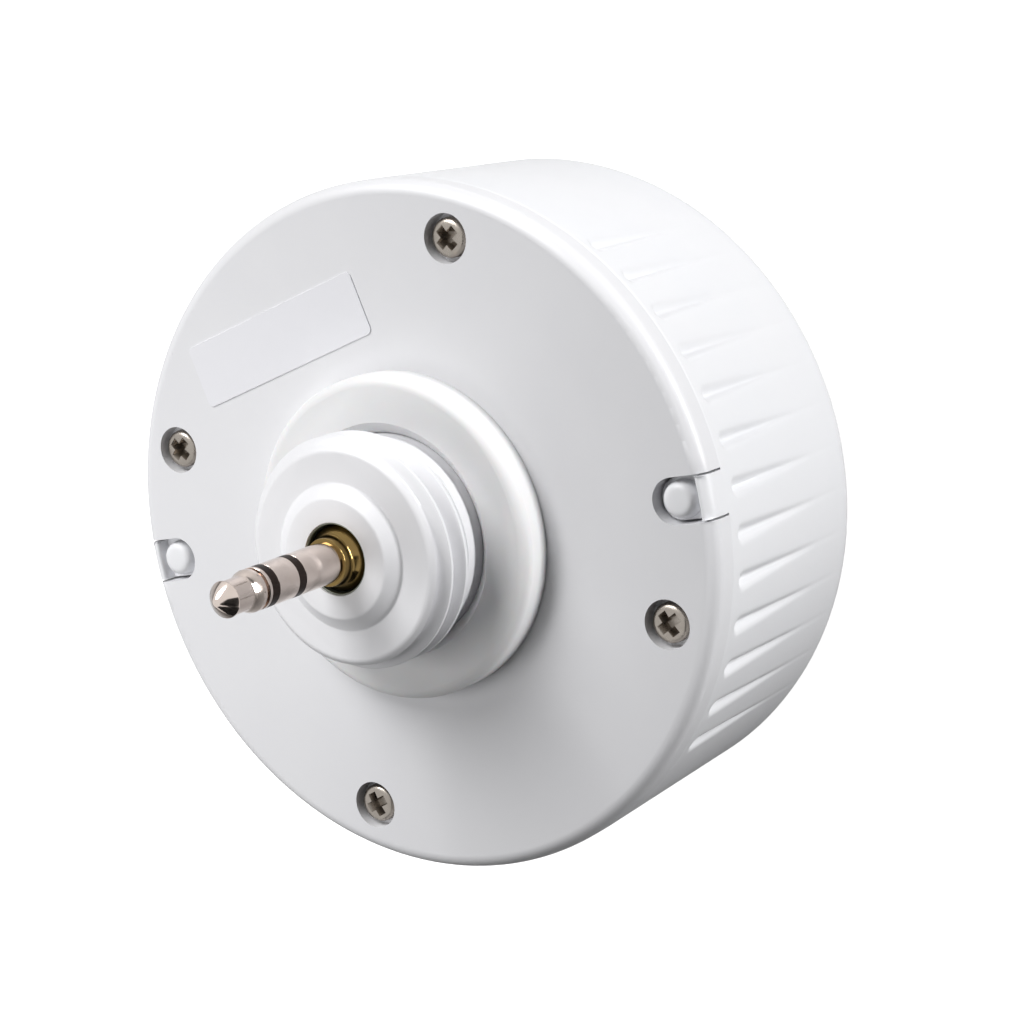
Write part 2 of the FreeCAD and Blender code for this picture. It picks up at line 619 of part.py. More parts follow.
def housing_seal():
    body = new_body("housing_seal")
    turned(body, outline(new_sketch(body), ring_profile(
        f"({SEAL_CIRCLE} - sealThickness / 2)", f"({SEAL_CIRCLE} + sealThickness / 2)",
        SEAL_LAND, SEAL_TOP)))
    return body


# A screw stands head up, with its head's underside on the local origin
def screw_body(name, head_radius, head_height, radius, length, edge="0"):
    body = new_body(name)
    head = [(head_radius, head_height)]
    if edge != "0":
        head = [(head_radius, f"({head_height} - {edge})"),
                (f"({head_radius} - {edge})", head_height)]
    turned(body, outline(new_sketch(body), [
        ("0", f"(0 - {length})"), (radius, f"(0 - {length})"), (radius, "0"),
        (head_radius, "0")] + head + [("0", head_height)]))
    return body


def cross_recess(body, top):
    """Sinks a plus-shaped recess into a screw's head, a quarter turn at a time."""
    arm, reach = "(screwCrossWidth / 2)", "(screwCrossSpan / 2)"
    plus = []
    for quarter in range(4):
        for x, y in ((arm, arm), (arm, reach), (f"(0 - {arm})", reach)):
            for _ in range(quarter):
                x, y = f"(0 - {y})", x
            plus.append((x, y))
    pocketed(body, outline(new_sketch(body, "XY_Plane", top), plus), "screwCrossDepth")


def cover_screws():
    turns = (33, 41, 20, 28)
    screws = []
    for i, turn in enumerate(turns):
        screw = screw_body(f"cover_screw_{i + 1}", "screwHeadRadius", "screwHeadHeight",
                           "screwRadius", "screwLength", "screwHeadEdge")
        cross_recess(screw, "screwHeadHeight")
        x, y = polar(SCREW_CIRCLE, f"(screwAngle + {90 * i})")
        place(screw, x, y, f"({BACK} - counterboreDepth)", f"{turn}")
        screws.append(screw)
    return grouped("cover_screws", screws)


def small_screws(name, count, circle_radius, start, z, head_up):
    screws = []
    for i in range(count):
        screw = screw_body(f"{name}_{i + 1}", "smallHeadRadius", "smallHeadHeight",
                           "smallScrewRadius", "smallScrewLength")
        x, y = polar(circle_radius, f"{start + 360 * i / count}")
        place(screw, x, y, z)
        if not head_up:
            screw.Placement.Rotation = FreeCAD.Rotation(FreeCAD.Vector(1, 0, 0), 180)
        screws.append(screw)
    return grouped(name, screws)


# Three-pole plug: nested tubes, each with its own contact ring at the front and tail at the back
def plug_parts():
    tail = f"({PLUG_BOARD_END} - lugLength)"
    tip = new_body("plug_tip")
    turned(tip, outline(new_sketch(tip), [
        ("0", tail), ("coreRadius", tail), ("coreRadius", BAND_1), ("plugRadius", BAND_1),
        ("plugRadius", f"({BAND_1} + tipRimLength)"),
        ("tipNeckRadius", f"({BAND_1} + tipRimLength + tipShoulderLength)"),
        ("tipNeckRadius", "(plugReach - tipNoseLength)"),
        ("tipNoseRadius", "(plugReach - tipNoseLength)"), ("tipFlatRadius", "plugReach"),
        ("0", "plugReach")]))

    pieces = [tip]
    layers = [("plug_front_insulator", RING_TOP, BAND_1, 1),
              ("plug_ring", BAND_2, RING_TOP, 2),
              ("plug_rear_insulator", SLEEVE_TOP, BAND_2, 3)]
    for name, low, high, layer in layers:
        inner = f"(coreRadius + tubeStep * {layer - 1} + fitGap / 2)"
        outer = f"(coreRadius + tubeStep * {layer})"
        end = f"({tail} + lugLength * {layer} / 4)"
        piece = new_body(name)
        turned(piece, outline(new_sketch(piece), [
            (inner, end), (outer, end), (outer, low), ("plugRadius", low),
            ("plugRadius", high), (inner, high)]))
        pieces.append(piece)

    sleeve = new_body("plug_sleeve")
    sleeve_low = f"({tail} + lugLength)"
    sleeve_bore = "(coreRadius + tubeStep * 3 + fitGap / 2)"
    turned(sleeve, outline(new_sketch(sleeve), [
        (sleeve_bore, sleeve_low), (SHANK_RADIUS, sleeve_low), (SHANK_RADIUS, COLLAR_END),
        ("plugRadius", COLLAR_END), ("plugRadius", SLEEVE_TOP), (sleeve_bore, SLEEVE_TOP)]))
    pieces.append(sleeve)

    collar = new_body("plug_collar")
    bore = f"({SHANK_RADIUS} + fitGap / 2)"
    turned(collar, outline(new_sketch(collar), [
        (bore, PLUG_BOARD_TOP), ("collarFlangeRadius", PLUG_BOARD_TOP),
        ("collarFlangeRadius", TUBE_END), ("collarRadius", TUBE_END),
        ("collarRadius", f"({COLLAR_END} - collarChamfer)"),
        ("(collarRadius - collarChamfer)", COLLAR_END), (bore, COLLAR_END)]))
    pieces.append(collar)
    return pieces


# Small board that carries the plug, and the three-way link down to the main board
def plug_board_parts():
    board = new_body("plug_board")
    board_sketch = circle(new_sketch(board, "XY_Plane", PLUG_BOARD_END), "0", "0",
                          "plugBoardRadius")
    padded(board, board_sketch, "plugBoardThickness")
    hole_sketch = circle(new_sketch(board, "XY_Plane", PLUG_BOARD_TOP), "0", "plugBoardPost",
                         "(smallScrewRadius + 2 * fitGap)")
    hole = pocketed(board, hole_sketch, "plugBoardThickness")
    ring_of(board, [hole], hole_sketch, 2)
    pocketed(board, circle(new_sketch(board, "XY_Plane", PLUG_BOARD_TOP), "0", "0",
                           f"({SHANK_RADIUS} + fitGap)"), "plugBoardThickness")

    header_low = f"({PLUG_BOARD_END} - headerHeight)"
    socket_top = f"({header_low} - socketGap)"
    block = box_of("header_block", "0", "headerY", header_low, "headerLength", "headerWidth",
                   "headerHeight")
    socket = box_of("socket_block", "0", "headerY", BOARD_TOP, "headerLength", "headerWidth",
                    f"({socket_top} - {BOARD_TOP})")
    pin_low = f"({BOARD_TOP} + socketFloor)"
    pins, sleeves, bores = [], [], []
    for i in (-1, 0, 1):
        x = f"headerPitch * {i}"
        passage, bore = "(pinWidth + fitGap)", "(pinWidth + 2 * fitGap)"
        pins.append(box_of("header_pin", x, "headerY", pin_low, "pinWidth", "pinWidth",
                           f"({PLUG_BOARD_END} - {pin_low})"))
        sleeves.append(box_of("pin_passage", x, "headerY", header_low, passage, passage,
                              "headerHeight"))
        bores.append(box_of("socket_bore", x, "headerY", f"({pin_low} - 2 * fitGap)", bore,
                            bore, f"({socket_top} - {pin_low} + 3 * fitGap)"))
    header = doc.addObject("Part::Cut", "header_housing")
    header.Base, header.Tool = block, joined("pin_passages", sleeves)
    header.Label = "header_housing"
    holder = doc.addObject("Part::Cut", "header_socket")
    holder.Base, holder.Tool = socket, joined("socket_bores", bores)
    holder.Label = "header_socket"
    return [board, header, holder, grouped("header_pins", pins)]


def main_board():
    body = new_body("main_board")
    radius = f"({SEAL_WALL_IN} - boardGap)"
    padded(body, circle(new_sketch(body, "XY_Plane", LEDGE), "0", "0", radius),
           "boardThickness")
    hole_sketch = circle(new_sketch(body, "XY_Plane", BOARD_TOP), "0", BOARD_SCREWS,
                         "(smallScrewRadius + 2 * fitGap)")
    hole = pocketed(body, hole_sketch, "boardThickness")
    ring_of(body, [hole], hole_sketch, 3)
    return body


# Infrared detector in its can, on a spacer under the main board, facing the lens
def detector_parts():
    spacer = new_body("detector_spacer")
    rim_top = f"({LEDGE} - spacerHeight)"
    turned(spacer, outline(new_sketch(spacer), ring_profile(
        "(detectorRadius / 2)", "detectorRimRadius", rim_top, LEDGE)))

    can = new_body("detector_can")
    can_low = f"({rim_top} - detectorHeight)"
    rim_low = f"({rim_top} - detectorRimHeight)"
    turned(can, outline(new_sketch(can), [
        ("0", can_low), ("detectorRadius", can_low), ("detectorRadius", rim_low),
        ("detectorRimRadius", rim_low), ("detectorRimRadius", rim_top), ("0", rim_top)]))
    lead_sketch = circle(new_sketch(can, "XY_Plane", rim_top), "0", "detectorRadius / 3",
                         "detectorLead")
    lead = padded(can, lead_sketch, "spacerHeight")
    ring_of(can, [lead], lead_sketch, 3)
    window_sketch = new_sketch(can, "XY_Plane", f"({can_low} + windowDepth)")
    half_x, half_y = "(windowLength / 2)", "(windowWidth / 2)"
    pocketed(can, outline(window_sketch, [
        (half_x, half_y), (f"(0 - {half_x})", half_y), (f"(0 - {half_x})", f"(0 - {half_y})"),
        (half_x, f"(0 - {half_y})")]), "windowDepth")
    window = box_of("detector_window", "0", "0", can_low, "windowLength - 2 * fitGap",
                    "windowWidth - 2 * fitGap", "windowDepth")
    window.Label = "detector_window"
    return [spacer, can, window]


# Parts on the lens side of the main board: light sensor, status light and remote receiver
def lens_side_parts():
    sensor_low = f"({LEDGE} - sensorHeight)"
    light_sensor = joined("light_sensor", [
        box_of("light_sensor_base", "eyeX", "eyeY", sensor_low, "sensorLength", "sensorWidth",
               "sensorHeight"),
        rod_of("light_sensor_eye", "eyeX", "eyeY", f"({sensor_low} - sensorEyeHeight)",
               "sensorEyeRadius", "(sensorEyeHeight + sensorHeight / 2)")])

    status_light = new_body("status_light")
    turned(status_light, outline(new_sketch(status_light), [
        ("0", "(0 - lampHeight)"), ("lampRadius", "(lampRadius - lampHeight)"),
        ("lampRadius", "(0 - lampRimHeight)"), ("lampRimRadius", "(0 - lampRimHeight)"),
        ("lampRimRadius", "0"), ("0", "0")], {0: ("0", 1)}))
    place(status_light, "(0 - eyeX)", "eyeY", LEDGE)

    receiver_low = f"({LEDGE} - receiverHeight)"
    remote_receiver = joined("remote_receiver", [
        box_of("receiver_body", "0", "receiverY", receiver_low, "receiverLength",
               "receiverWidth", "receiverHeight"),
        rod_of("receiver_eye", "0", "receiverY", f"({receiver_low} - receiverEyeHeight)",
               "receiverEyeRadius", "(receiverEyeHeight + receiverHeight / 2)")])
    return [light_sensor, status_light, remote_receiver]


# Parts on the plug side of the main board
def plug_side_parts():
    def chip(name, x, y, length, width, height, legs):
        """A chip with a row of legs on each long side."""
        pieces = [box_of(f"{name}_body", x, y, f"({BOARD_TOP} + chipStandoff)", length, width,
                         height)]
        for i in range(legs):
            for side in (-1, 1):
                leg_x = f"{x} + ({length}) * {(i + 0.5) / legs - 0.5:.4f}"
                leg_y = f"{y} + {side} * ({width} + chipLegLength) / 2"
                pieces.append(box_of(f"{name}_leg", leg_x, f"{leg_y} - {side} * chipStandoff",
                                     BOARD_TOP, "chipLegWidth", "chipLegLength",
                                     f"({height} / 2)"))
        return joined(name, pieces)

    def row_of(name, count, y, height):
        """Small two-ended chips side by side."""
        chips = []
        for i in range(count):
            x = f"smallPitch * {i - (count - 1) / 2}"
            chips.append(box_of(f"{name}_chip", x, y, BOARD_TOP, "smallWidth", "smallLength",
                                height))
        return grouped(name, chips)

    controller = chip("microcontroller", "controllerX", "controllerY", "controllerLength",
                      "controllerWidth", "chipHeight", 8)
    amplifier = chip("signal_amplifier", "amplifierX", "amplifierY", "amplifierLength",
                     "amplifierWidth", "chipHeight", 4)
    tab_y = "regulatorY + (regulatorWidth + regulatorTabWidth) / 2 - chipStandoff"
    regulator = joined("voltage_regulator", [
        box_of("regulator_body", "regulatorX", "regulatorY", BOARD_TOP, "regulatorLength",
               "regulatorWidth", "regulatorHeight"),
        box_of("regulator_tab", "regulatorX", tab_y, BOARD_TOP, "regulatorLength / 2",
               "regulatorTabWidth", "chipLegWidth")])
    cans = []
    for angle in (28, 154, 250):
        x, y = polar(f"({SEAL_WALL_IN} - canInset)", str(angle))
        base = box_of("can_base", x, y, BOARD_TOP, "canBaseSide", "canBaseSide", "canBaseHeight")
        can = rod_of("can", x, y, BOARD_TOP, "canRadius", "canHeight")
        cans.append(joined("capacitor", [base, can]))
    return [controller, amplifier, regulator, grouped("power_capacitors", cans),
            row_of("ceramic_capacitors", 6, "ceramicY", "ceramicHeight"),
            row_of("resistors", 5, "resistorY", "resistorHeight")]


# Lens: a thin dome with a flange, its seal, and the ring that holds it in the housing
def lens_parts():
    dome = new_body("lens_dome")
    inner = "(lensRadius - lensWall)"
    start = f"({FRONT} - lensStep)"
    turned(dome, outline(new_sketch(dome), [
        (inner, LENS_FLANGE_TOP), (inner, start), ("0", f"({start} - lensHeight + lensWall)"),
        ("0", f"({start} - lensHeight)"), ("lensRadius", start),
        ("lensRadius", LENS_FLANGE_END), (FLANGE_RADIUS, LENS_FLANGE_END),
        (FLANGE_RADIUS, LENS_FLANGE_TOP)], {1: ("0", -1), 3: ("0", 1)}))

    seal = new_body("lens_seal")
    turned(seal, outline(new_sketch(seal), ring_profile(
        "(lensRadius + 2 * lensGap)", FLANGE_RADIUS, FLOOR, LENS_FLANGE_END)))

    retainer = new_body("lens_retainer")
    skirt_in = f"({FLANGE_RADIUS} + lensGap)"
    skirt_out = f"({skirt_in} + retainerWall)"
    retainer_top = f"({LENS_FLANGE_TOP} + retainerHeight)"
    turned(retainer, outline(new_sketch(retainer), [
        (skirt_in, FLOOR), (skirt_out, FLOOR), (skirt_out, retainer_top),
        ("(lensRadius - lensWall)", retainer_top), ("(lensRadius - lensWall)", LENS_FLANGE_TOP),
        (skirt_in, LENS_FLANGE_TOP)]))
    return [dome, seal, retainer]


def back_label():
    label = doc.addObject("Part::Box", "back_label")
    label.Label = "back_label"
    bind(label, Length="labelLength", Width="labelWidth", Height="labelThickness")
    x = "labelX - labelLength / 2 * cos(labelTurn) + labelWidth / 2 * sin(labelTurn)"
    y = ("bodyRadius - labelInset"
         " - labelLength / 2 * sin(labelTurn) - labelWidth / 2 * cos(labelTurn)")
    place(label, x, y, BACK, "labelTurn")
    return label


nodes = [rear_cover(), front_housing(), neck_gasket(), housing_seal(), cover_screws()]
nodes += plug_parts()
nodes += plug_board_parts()
nodes.append(small_screws("plug_board_screws", 2, "plugBoardPost", 90, PLUG_BOARD_END, False))
nodes.append(main_board())
nodes.append(small_screws("main_board_screws", 3, BOARD_SCREWS, 90, BOARD_TOP, True))
nodes += detector_parts() + lens_side_parts() + plug_side_parts() + lens_parts()
nodes.append(back_label())
doc.recompute()

# Nothing is written unless every object is sound
for thing in doc.Objects:
    if "Invalid" in thing.State or "Error" in thing.State:
        raise ValueError(f"{thing.Label} failed: {thing.State}")
for node in nodes:
    if node.Shape.isNull() or not node.Shape.isValid():
        raise ValueError(f"{node.Label} has no sound shape")

os.makedirs("parts", exist_ok=True)
for node in nodes:
    node.Shape.exportStep(os.path.join("parts", f"{node.Label}.step"))
    print(f"{node.Label}: {len(node.Shape.Solids)} solid(s), {node.Shape.Volume:.2f} mm3")
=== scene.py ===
import bmesh
import bpy
import json
import math
from mathutils import Matrix, Vector


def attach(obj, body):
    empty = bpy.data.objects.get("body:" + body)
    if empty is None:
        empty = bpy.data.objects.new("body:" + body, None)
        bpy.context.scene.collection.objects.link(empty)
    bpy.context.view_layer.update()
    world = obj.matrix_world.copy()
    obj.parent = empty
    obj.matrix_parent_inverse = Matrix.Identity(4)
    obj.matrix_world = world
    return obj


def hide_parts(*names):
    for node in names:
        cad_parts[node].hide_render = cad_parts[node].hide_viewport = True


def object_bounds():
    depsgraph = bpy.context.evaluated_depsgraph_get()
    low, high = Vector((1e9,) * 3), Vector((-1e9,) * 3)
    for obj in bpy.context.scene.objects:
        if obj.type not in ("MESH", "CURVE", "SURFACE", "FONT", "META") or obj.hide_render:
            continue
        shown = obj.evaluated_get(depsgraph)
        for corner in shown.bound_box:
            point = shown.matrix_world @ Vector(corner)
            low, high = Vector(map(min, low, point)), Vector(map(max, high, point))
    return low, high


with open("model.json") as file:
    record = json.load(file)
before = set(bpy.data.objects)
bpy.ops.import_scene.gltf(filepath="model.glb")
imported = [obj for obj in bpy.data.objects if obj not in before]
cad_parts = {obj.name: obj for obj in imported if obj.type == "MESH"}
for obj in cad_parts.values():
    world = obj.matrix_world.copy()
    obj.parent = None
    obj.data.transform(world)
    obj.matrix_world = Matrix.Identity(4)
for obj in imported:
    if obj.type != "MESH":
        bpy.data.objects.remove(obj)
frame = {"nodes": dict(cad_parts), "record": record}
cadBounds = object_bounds()
nodes = frame["nodes"]
scene = bpy.context.scene
mm = 0.001
print("frame loaded:", len(nodes), "CAD nodes")

# The sensor lies lens down: +Z runs up its neck and plug. Sizes here are millimetres.

camera = {
    "place": (135.46, 25.40, 170.60),
    "right": (0.8094, -0.1974, -0.5530),
    "up": (0.0963, 0.9737, -0.2066),
    "lens": 91.76,  # on a 36 mm sensor
}


def makeCamera():
    data = bpy.data.cameras.new("photoCamera")
    data.lens = camera["lens"]
    data.sensor_width = 36
    data.clip_start = 0.01
    data.clip_end = 20
    viewer = bpy.data.objects.new("photoCamera", data)
    scene.collection.objects.link(viewer)
    right = Vector(camera["right"]).normalized()
    back = right.cross(Vector(camera["up"])).normalized()
    turn = Matrix((right, back.cross(right), back)).transposed().to_4x4()
    viewer.matrix_world = Matrix.Translation(Vector(camera["place"]) * mm) @ turn
    scene.camera = viewer


makeCamera()


# Nodes and colours

def addNode(tree, kind, settings=None, links=None):
    node = tree.nodes.new(kind)
    for name, value in (settings or {}).items():
        if isinstance(name, int) or name in node.inputs:
            node.inputs[name].default_value = value
        else:
            setattr(node, name, value)
    for name, output in (links or {}).items():
        tree.links.new(output, node.inputs[name])
    return node


def toLinear(code):
    channels = [int(code[i:i + 2], 16) / 255 for i in (1, 3, 5)]
    linear = [c / 12.92 if c <= 0.04045 else ((c + 0.055) / 1.055) ** 2.4 for c in channels]
    return (*linear, 1.0)


def newMaterial(name, **values):
    material = bpy.data.materials.new(name)
    material.use_nodes = True
    tree = material.node_tree
    surface = tree.nodes["Principled BSDF"]
    for socket, value in values.items():
        surface.inputs[socket.replace("_", " ")].default_value = value
    place = addNode(tree, "ShaderNodeTexCoord").outputs["Object"]
    return material, tree, surface, place


# Clouds of a second tone and of gloss: patch is their width in millimetres
def clouded(tree, surface, place, codes, gloss, patch):
    surface.inputs["Base Color"].default_value = toLinear(codes[0])
    clouds = addNode(tree, "ShaderNodeTexNoise", {"Scale": 1 / (patch * mm), "Detail": 3.0},
                     {"Vector": place})
    tone = addNode(tree, "ShaderNodeMix",
                   {"data_type": "RGBA", 6: toLinear(codes[0]), 7: toLinear(codes[1])},
                   {0: clouds.outputs[0]})
    shine = addNode(tree, "ShaderNodeMapRange",
                    {"From Min": 0.3, "From Max": 0.7, "To Min": gloss[0], "To Max": gloss[1]},
                    {"Value": clouds.outputs[0]})
    tree.links.new(tone.outputs[2], surface.inputs["Base Color"])
    tree.links.new(shine.outputs[0], surface.inputs["Roughness"])


# Fine relief: grain and depth are its width and height in millimetres
def grained(tree, surface, place, grain, depth, stretch=(1, 1, 1)):
    laid = addNode(tree, "ShaderNodeMapping", {"Scale": stretch}, {"Vector": place})
    relief = addNode(tree, "ShaderNodeTexNoise", {"Scale": 1 / (grain * mm), "Detail": 2.0},
                     {"Vector": laid.outputs[0]})
    bump = addNode(tree, "ShaderNodeBump", {"Strength": 1.0, "Distance": depth * mm},
                   {"Height": relief.outputs[0]})
    tree.links.new(bump.outputs[0], surface.inputs["Normal"])


# White ABS, injection moulded in a finely spark-eroded tool: an even satin with faint flow clouds
def mouldedAbs(name, codes, gloss, grain=0.22):
    material, tree, surface, place = newMaterial(name, IOR=1.53)
    clouded(tree, surface, place, codes, gloss=gloss, patch=9)
    grained(tree, surface, place, grain=grain, depth=0.004)
    return material


# White silicone rubber, pressed in a smooth tool: soft and almost matt, light goes a little way in
def pressedSilicone():
    material, tree, surface, place = newMaterial("pressedSilicone", IOR=1.41,
                                                 Subsurface_Weight=0.08,
                                                 Subsurface_Scale=0.6 * mm)
    clouded(tree, surface, place, ("#E6E6E6", "#DFDFE0"), gloss=(0.5, 0.62), patch=4)
    grained(tree, surface, place, grain=0.12, depth=0.003)
    return material


# Nitrile rubber, moulded: near black and dull
def nitrileRubber():
    material, tree, surface, place = newMaterial("nitrileRubber", IOR=1.52)
    clouded(tree, surface, place, ("#232325", "#2E2E30"), gloss=(0.62, 0.75), patch=3)
    grained(tree, surface, place, grain=0.15, depth=0.006)
    return material


# Milky polyethylene, thin and moulded: light goes a little way in, and the skin is waxy
def milkyPolyethylene():
    material, tree, surface, place = newMaterial("milkyPolyethylene", IOR=1.51,
                                                 Subsurface_Weight=0.35,
                                                 Subsurface_Scale=1.2 * mm)
    clouded(tree, surface, place, ("#ECECE8", "#E4E5E2"), gloss=(0.36, 0.46), patch=6)
    grained(tree, surface, place, grain=0.3, depth=0.004)
    return material


# Nickel plate over steel, tumbled: greyed and slightly warm, with soft fine marks. Its base is
# painted darker than nickel, partly as painted reflection of the dim surroundings the screw heads
# mirror
def platedSteelDarkReflection():
    material, tree, surface, place = newMaterial("platedSteelDarkReflection", Metallic=1.0)
    clouded(tree, surface, place, ("#ABA49C", "#8E877F"), gloss=(0.22, 0.36), patch=0.8)
    grained(tree, surface, place, grain=0.12, depth=0.006)
    return material


# Nickel plate over a deep-drawn steel can: bright, with soft draw lines up its side
def nickelledCan():
    material, tree, surface, place = newMaterial("nickelledCan", Metallic=1.0)
    clouded(tree, surface, place, ("#B9B1A6", "#A69E94"), gloss=(0.24, 0.4), patch=1)
    grained(tree, surface, place, grain=0.12, depth=0.004, stretch=(1, 1, 0.1))
    return material


# Nickel plate over turned brass, polished: pale and warm, with faint turning rings round the plug
def polishedNickel():
    material, tree, surface, place = newMaterial("polishedNickel", Metallic=1.0)
    clouded(tree, surface, place, ("#DED2CA", "#CFC1B8"), gloss=(0.08, 0.18), patch=1.2)
    grained(tree, surface, place, grain=0.1, depth=0.0012, stretch=(0.05, 0.05, 1))
    return material


# Brass, turned and left bare: yellow, with fine tool marks round its axis. Its base is painted
# much darker than brass, as painted shade for the deep hole the collar sits in
def brassPaintedHoleShade():
    material, tree, surface, place = newMaterial("brassPaintedHoleShade", Metallic=1.0)
    clouded(tree, surface, place, ("#8E774A", "#74603A"), gloss=(0.12, 0.2), patch=1.5)
    grained(tree, surface, place, grain=0.12, depth=0.003, stretch=(0.05, 0.05, 1))
    return material


# Black nylon, moulded between the contacts: dark brown-black with a dull gloss
def mouldedNylon():
    material, tree, surface, place = newMaterial("mouldedNylon", IOR=1.53,
                                                 Specular_IOR_Level=0.12)
    clouded(tree, surface, place, ("#1A110D", "#211611"), gloss=(0.34, 0.44), patch=1)
    grained(tree, surface, place, grain=0.08, depth=0.002)
    return material


# Glass-fibre board under green solder mask: glossy, with copper tracks that show through paler
def maskedBoard():
    material, tree, surface, place = newMaterial("maskedBoard", IOR=1.55, Roughness=0.3)
    surface.inputs["Base Color"].default_value = toLinear("#1F5B35")
    tracks = addNode(tree, "ShaderNodeTexBrick",
                     {"Scale": 1 / (6 * mm), "Mortar Size": 0.05, "Color1": toLinear("#1F5B35"),
                      "Color2": toLinear("#1A4F2E"), "Mortar": toLinear("#3E7F4C")},
                     {"Vector": place})
    tree.links.new(tracks.outputs[0], surface.inputs["Base Color"])
    grained(tree, surface, place, grain=0.4, depth=0.004)
    return material


# Epoxy moulding compound of a chip: charcoal, with a fine matt grain
def chipEpoxy():
    material, tree, surface, place = newMaterial("chipEpoxy", IOR=1.55)
    clouded(tree, surface, place, ("#2A2A2C", "#333335"), gloss=(0.5, 0.62), patch=1)
    grained(tree, surface, place, grain=0.05, depth=0.003)
    return material


# Glass-filled polyamide of a connector: black, a little streaky
def connectorPolyamide():
    material, tree, surface, place = newMaterial("connectorPolyamide", IOR=1.53)
    clouded(tree, surface, place, ("#1D1D1F", "#2B2B2E"), gloss=(0.45, 0.6), patch=1.5)
    grained(tree, surface, place, grain=0.1, depth=0.005, stretch=(1, 0.2, 1))
    return material


# Gold flash on a drawn pin: yellow and smooth
def goldFlash():
    material, tree, surface, place = newMaterial("goldFlash", Metallic=1.0)
    clouded(tree, surface, place, ("#E2BE68", "#D2AA52"), gloss=(0.2, 0.3), patch=0.6)
    grained(tree, surface, place, grain=0.06, depth=0.002, stretch=(1, 1, 0.1))
    return material


# Aluminium can, deep drawn: pale grey with soft draw lines
def drawnAluminium():
    material, tree, surface, place = newMaterial("drawnAluminium", Metallic=1.0)
    clouded(tree, surface, place, ("#C9CACC", "#B5B6B9"), gloss=(0.28, 0.4), patch=1)
    grained(tree, surface, place, grain=0.1, depth=0.004, stretch=(1, 1, 0.1))
    return material


# Silicon filter window: dark, smooth and mirror-like, with a brown cast
def filterWindow():
    material, tree, surface, place = newMaterial("filterWindow", IOR=1.9)
    clouded(tree, surface, place, ("#17110F", "#1F1714"), gloss=(0.05, 0.1), patch=2)
    grained(tree, surface, place, grain=0.5, depth=0.0005)
    return material


# Bare barium titanate chip: tan and matt, like unglazed pottery
def bareCeramic():
    material, tree, surface, place = newMaterial("bareCeramic", IOR=1.6)
    clouded(tree, surface, place, ("#A98A66", "#9A7B58"), gloss=(0.5, 0.65), patch=0.8)
    grained(tree, surface, place, grain=0.08, depth=0.004)
    return material


# Epoxy lamp, cast and tinted red: clear gloss over a deep colour
def castEpoxyRed():
    material, tree, surface, place = newMaterial("castEpoxyRed", IOR=1.54,
                                                 Transmission_Weight=0.25)
    clouded(tree, surface, place, ("#B0201A", "#96140F"), gloss=(0.08, 0.14), patch=2)
    grained(tree, surface, place, grain=0.4, depth=0.001)
    return material


# Receiver's infrared-pass resin: looks black and glossy with a plum cast
def infraredResin():
    material, tree, surface, place = newMaterial("infraredResin", IOR=1.54)
    clouded(tree, surface, place, ("#1C1218", "#261820"), gloss=(0.12, 0.2), patch=1.5)
    grained(tree, surface, place, grain=0.3, depth=0.001)
    return material


# Clear cast package of the light sensor: pale and glassy
def clearResin():
    material, tree, surface, place = newMaterial("clearResin", IOR=1.54,
                                                 Transmission_Weight=0.5)
    clouded(tree, surface, place, ("#DDDDD8", "#CFCFC9"), gloss=(0.06, 0.12), patch=1.5)
    grained(tree, surface, place, grain=0.3, depth=0.001)
    return material


# Polypropylene label film, bare: smooth, and a little shinier than the moulded back
def labelFilm():
    material, tree, surface, place = newMaterial("labelFilm", IOR=1.49)
    clouded(tree, surface, place, ("#E6E6EA", "#E4E4E8"), gloss=(0.3, 0.33), patch=5)
    grained(tree, surface, place, grain=0.3, depth=0.001)
    return material


# Zinc alloy, die-cast and left bare: grey with a green cast, and dull. The grey-green tone is
# partly painted shade, matched to the dim wall deep in the hole
def zincPaintedHoleShade():
    material, tree, surface, place = newMaterial("zincPaintedHoleShade", Metallic=1.0)
    clouded(tree, surface, place, ("#8B9088", "#787D76"), gloss=(0.42, 0.55), patch=1)
    grained(tree, surface, place, grain=0.1, depth=0.004)
    return material


finishes = {
    "cover_plastic": mouldedAbs("mouldedAbsCover", ("#E4E4E6", "#DEDEE1"), (0.34, 0.42)),
    "housing_plastic": mouldedAbs("mouldedAbsHousing", ("#E9E9EB", "#E4E5E8"), (0.36, 0.46)),
    "silicone": pressedSilicone(),
    "seal_rubber": nitrileRubber(),
    "lens_plastic": milkyPolyethylene(),
    "screw_steel": platedSteelDarkReflection(),
    "plug_nickel": polishedNickel(),
    "plug_brass": brassPaintedHoleShade(),
    "plug_insulator": mouldedNylon(),
    "board": maskedBoard(),
    "chip_black": chipEpoxy(),
    "header_black": connectorPolyamide(),
    "pin_gold": goldFlash(),
    "can_steel": nickelledCan(),
    "can_aluminium": drawnAluminium(),
    "window_dark": filterWindow(),
    "ceramic_tan": bareCeramic(),
    "lamp_red": castEpoxyRed(),
    "receiver_black": infraredResin(),
    "sensor_clear": clearResin(),
    "label_film": labelFilm(),
    "zinc_hole_shade": zincPaintedHoleShade(),
}
for part in frame["record"]["subparts"]:
    for materialSlot in nodes[part["node"]].material_slots:
        materialSlot.material = finishes[part["material_slot"]]
print("finishes made:", len(finishes))


# Meshes

welding = {
    "sameSpot": 0.001,
    "sameSolidSpot": 0.002,
    "sliver": 0.004,
    "flatWithin": 0.5,  # degrees
}


def radiusOf(vert):
    return math.hypot(vert.co.x, vert.co.y) / mm


def copyOf(nodeName):
    shape = bmesh.new()
    shape.from_mesh(nodes[nodeName].data)
    bmesh.ops.remove_doubles(shape, verts=shape.verts, dist=welding["sameSolidSpot"] * mm)
    bmesh.ops.dissolve_limit(shape, angle_limit=math.radians(welding["flatWithin"]),
                             verts=shape.verts, edges=shape.edges,
                             use_dissolve_boundaries=False)
    return shape


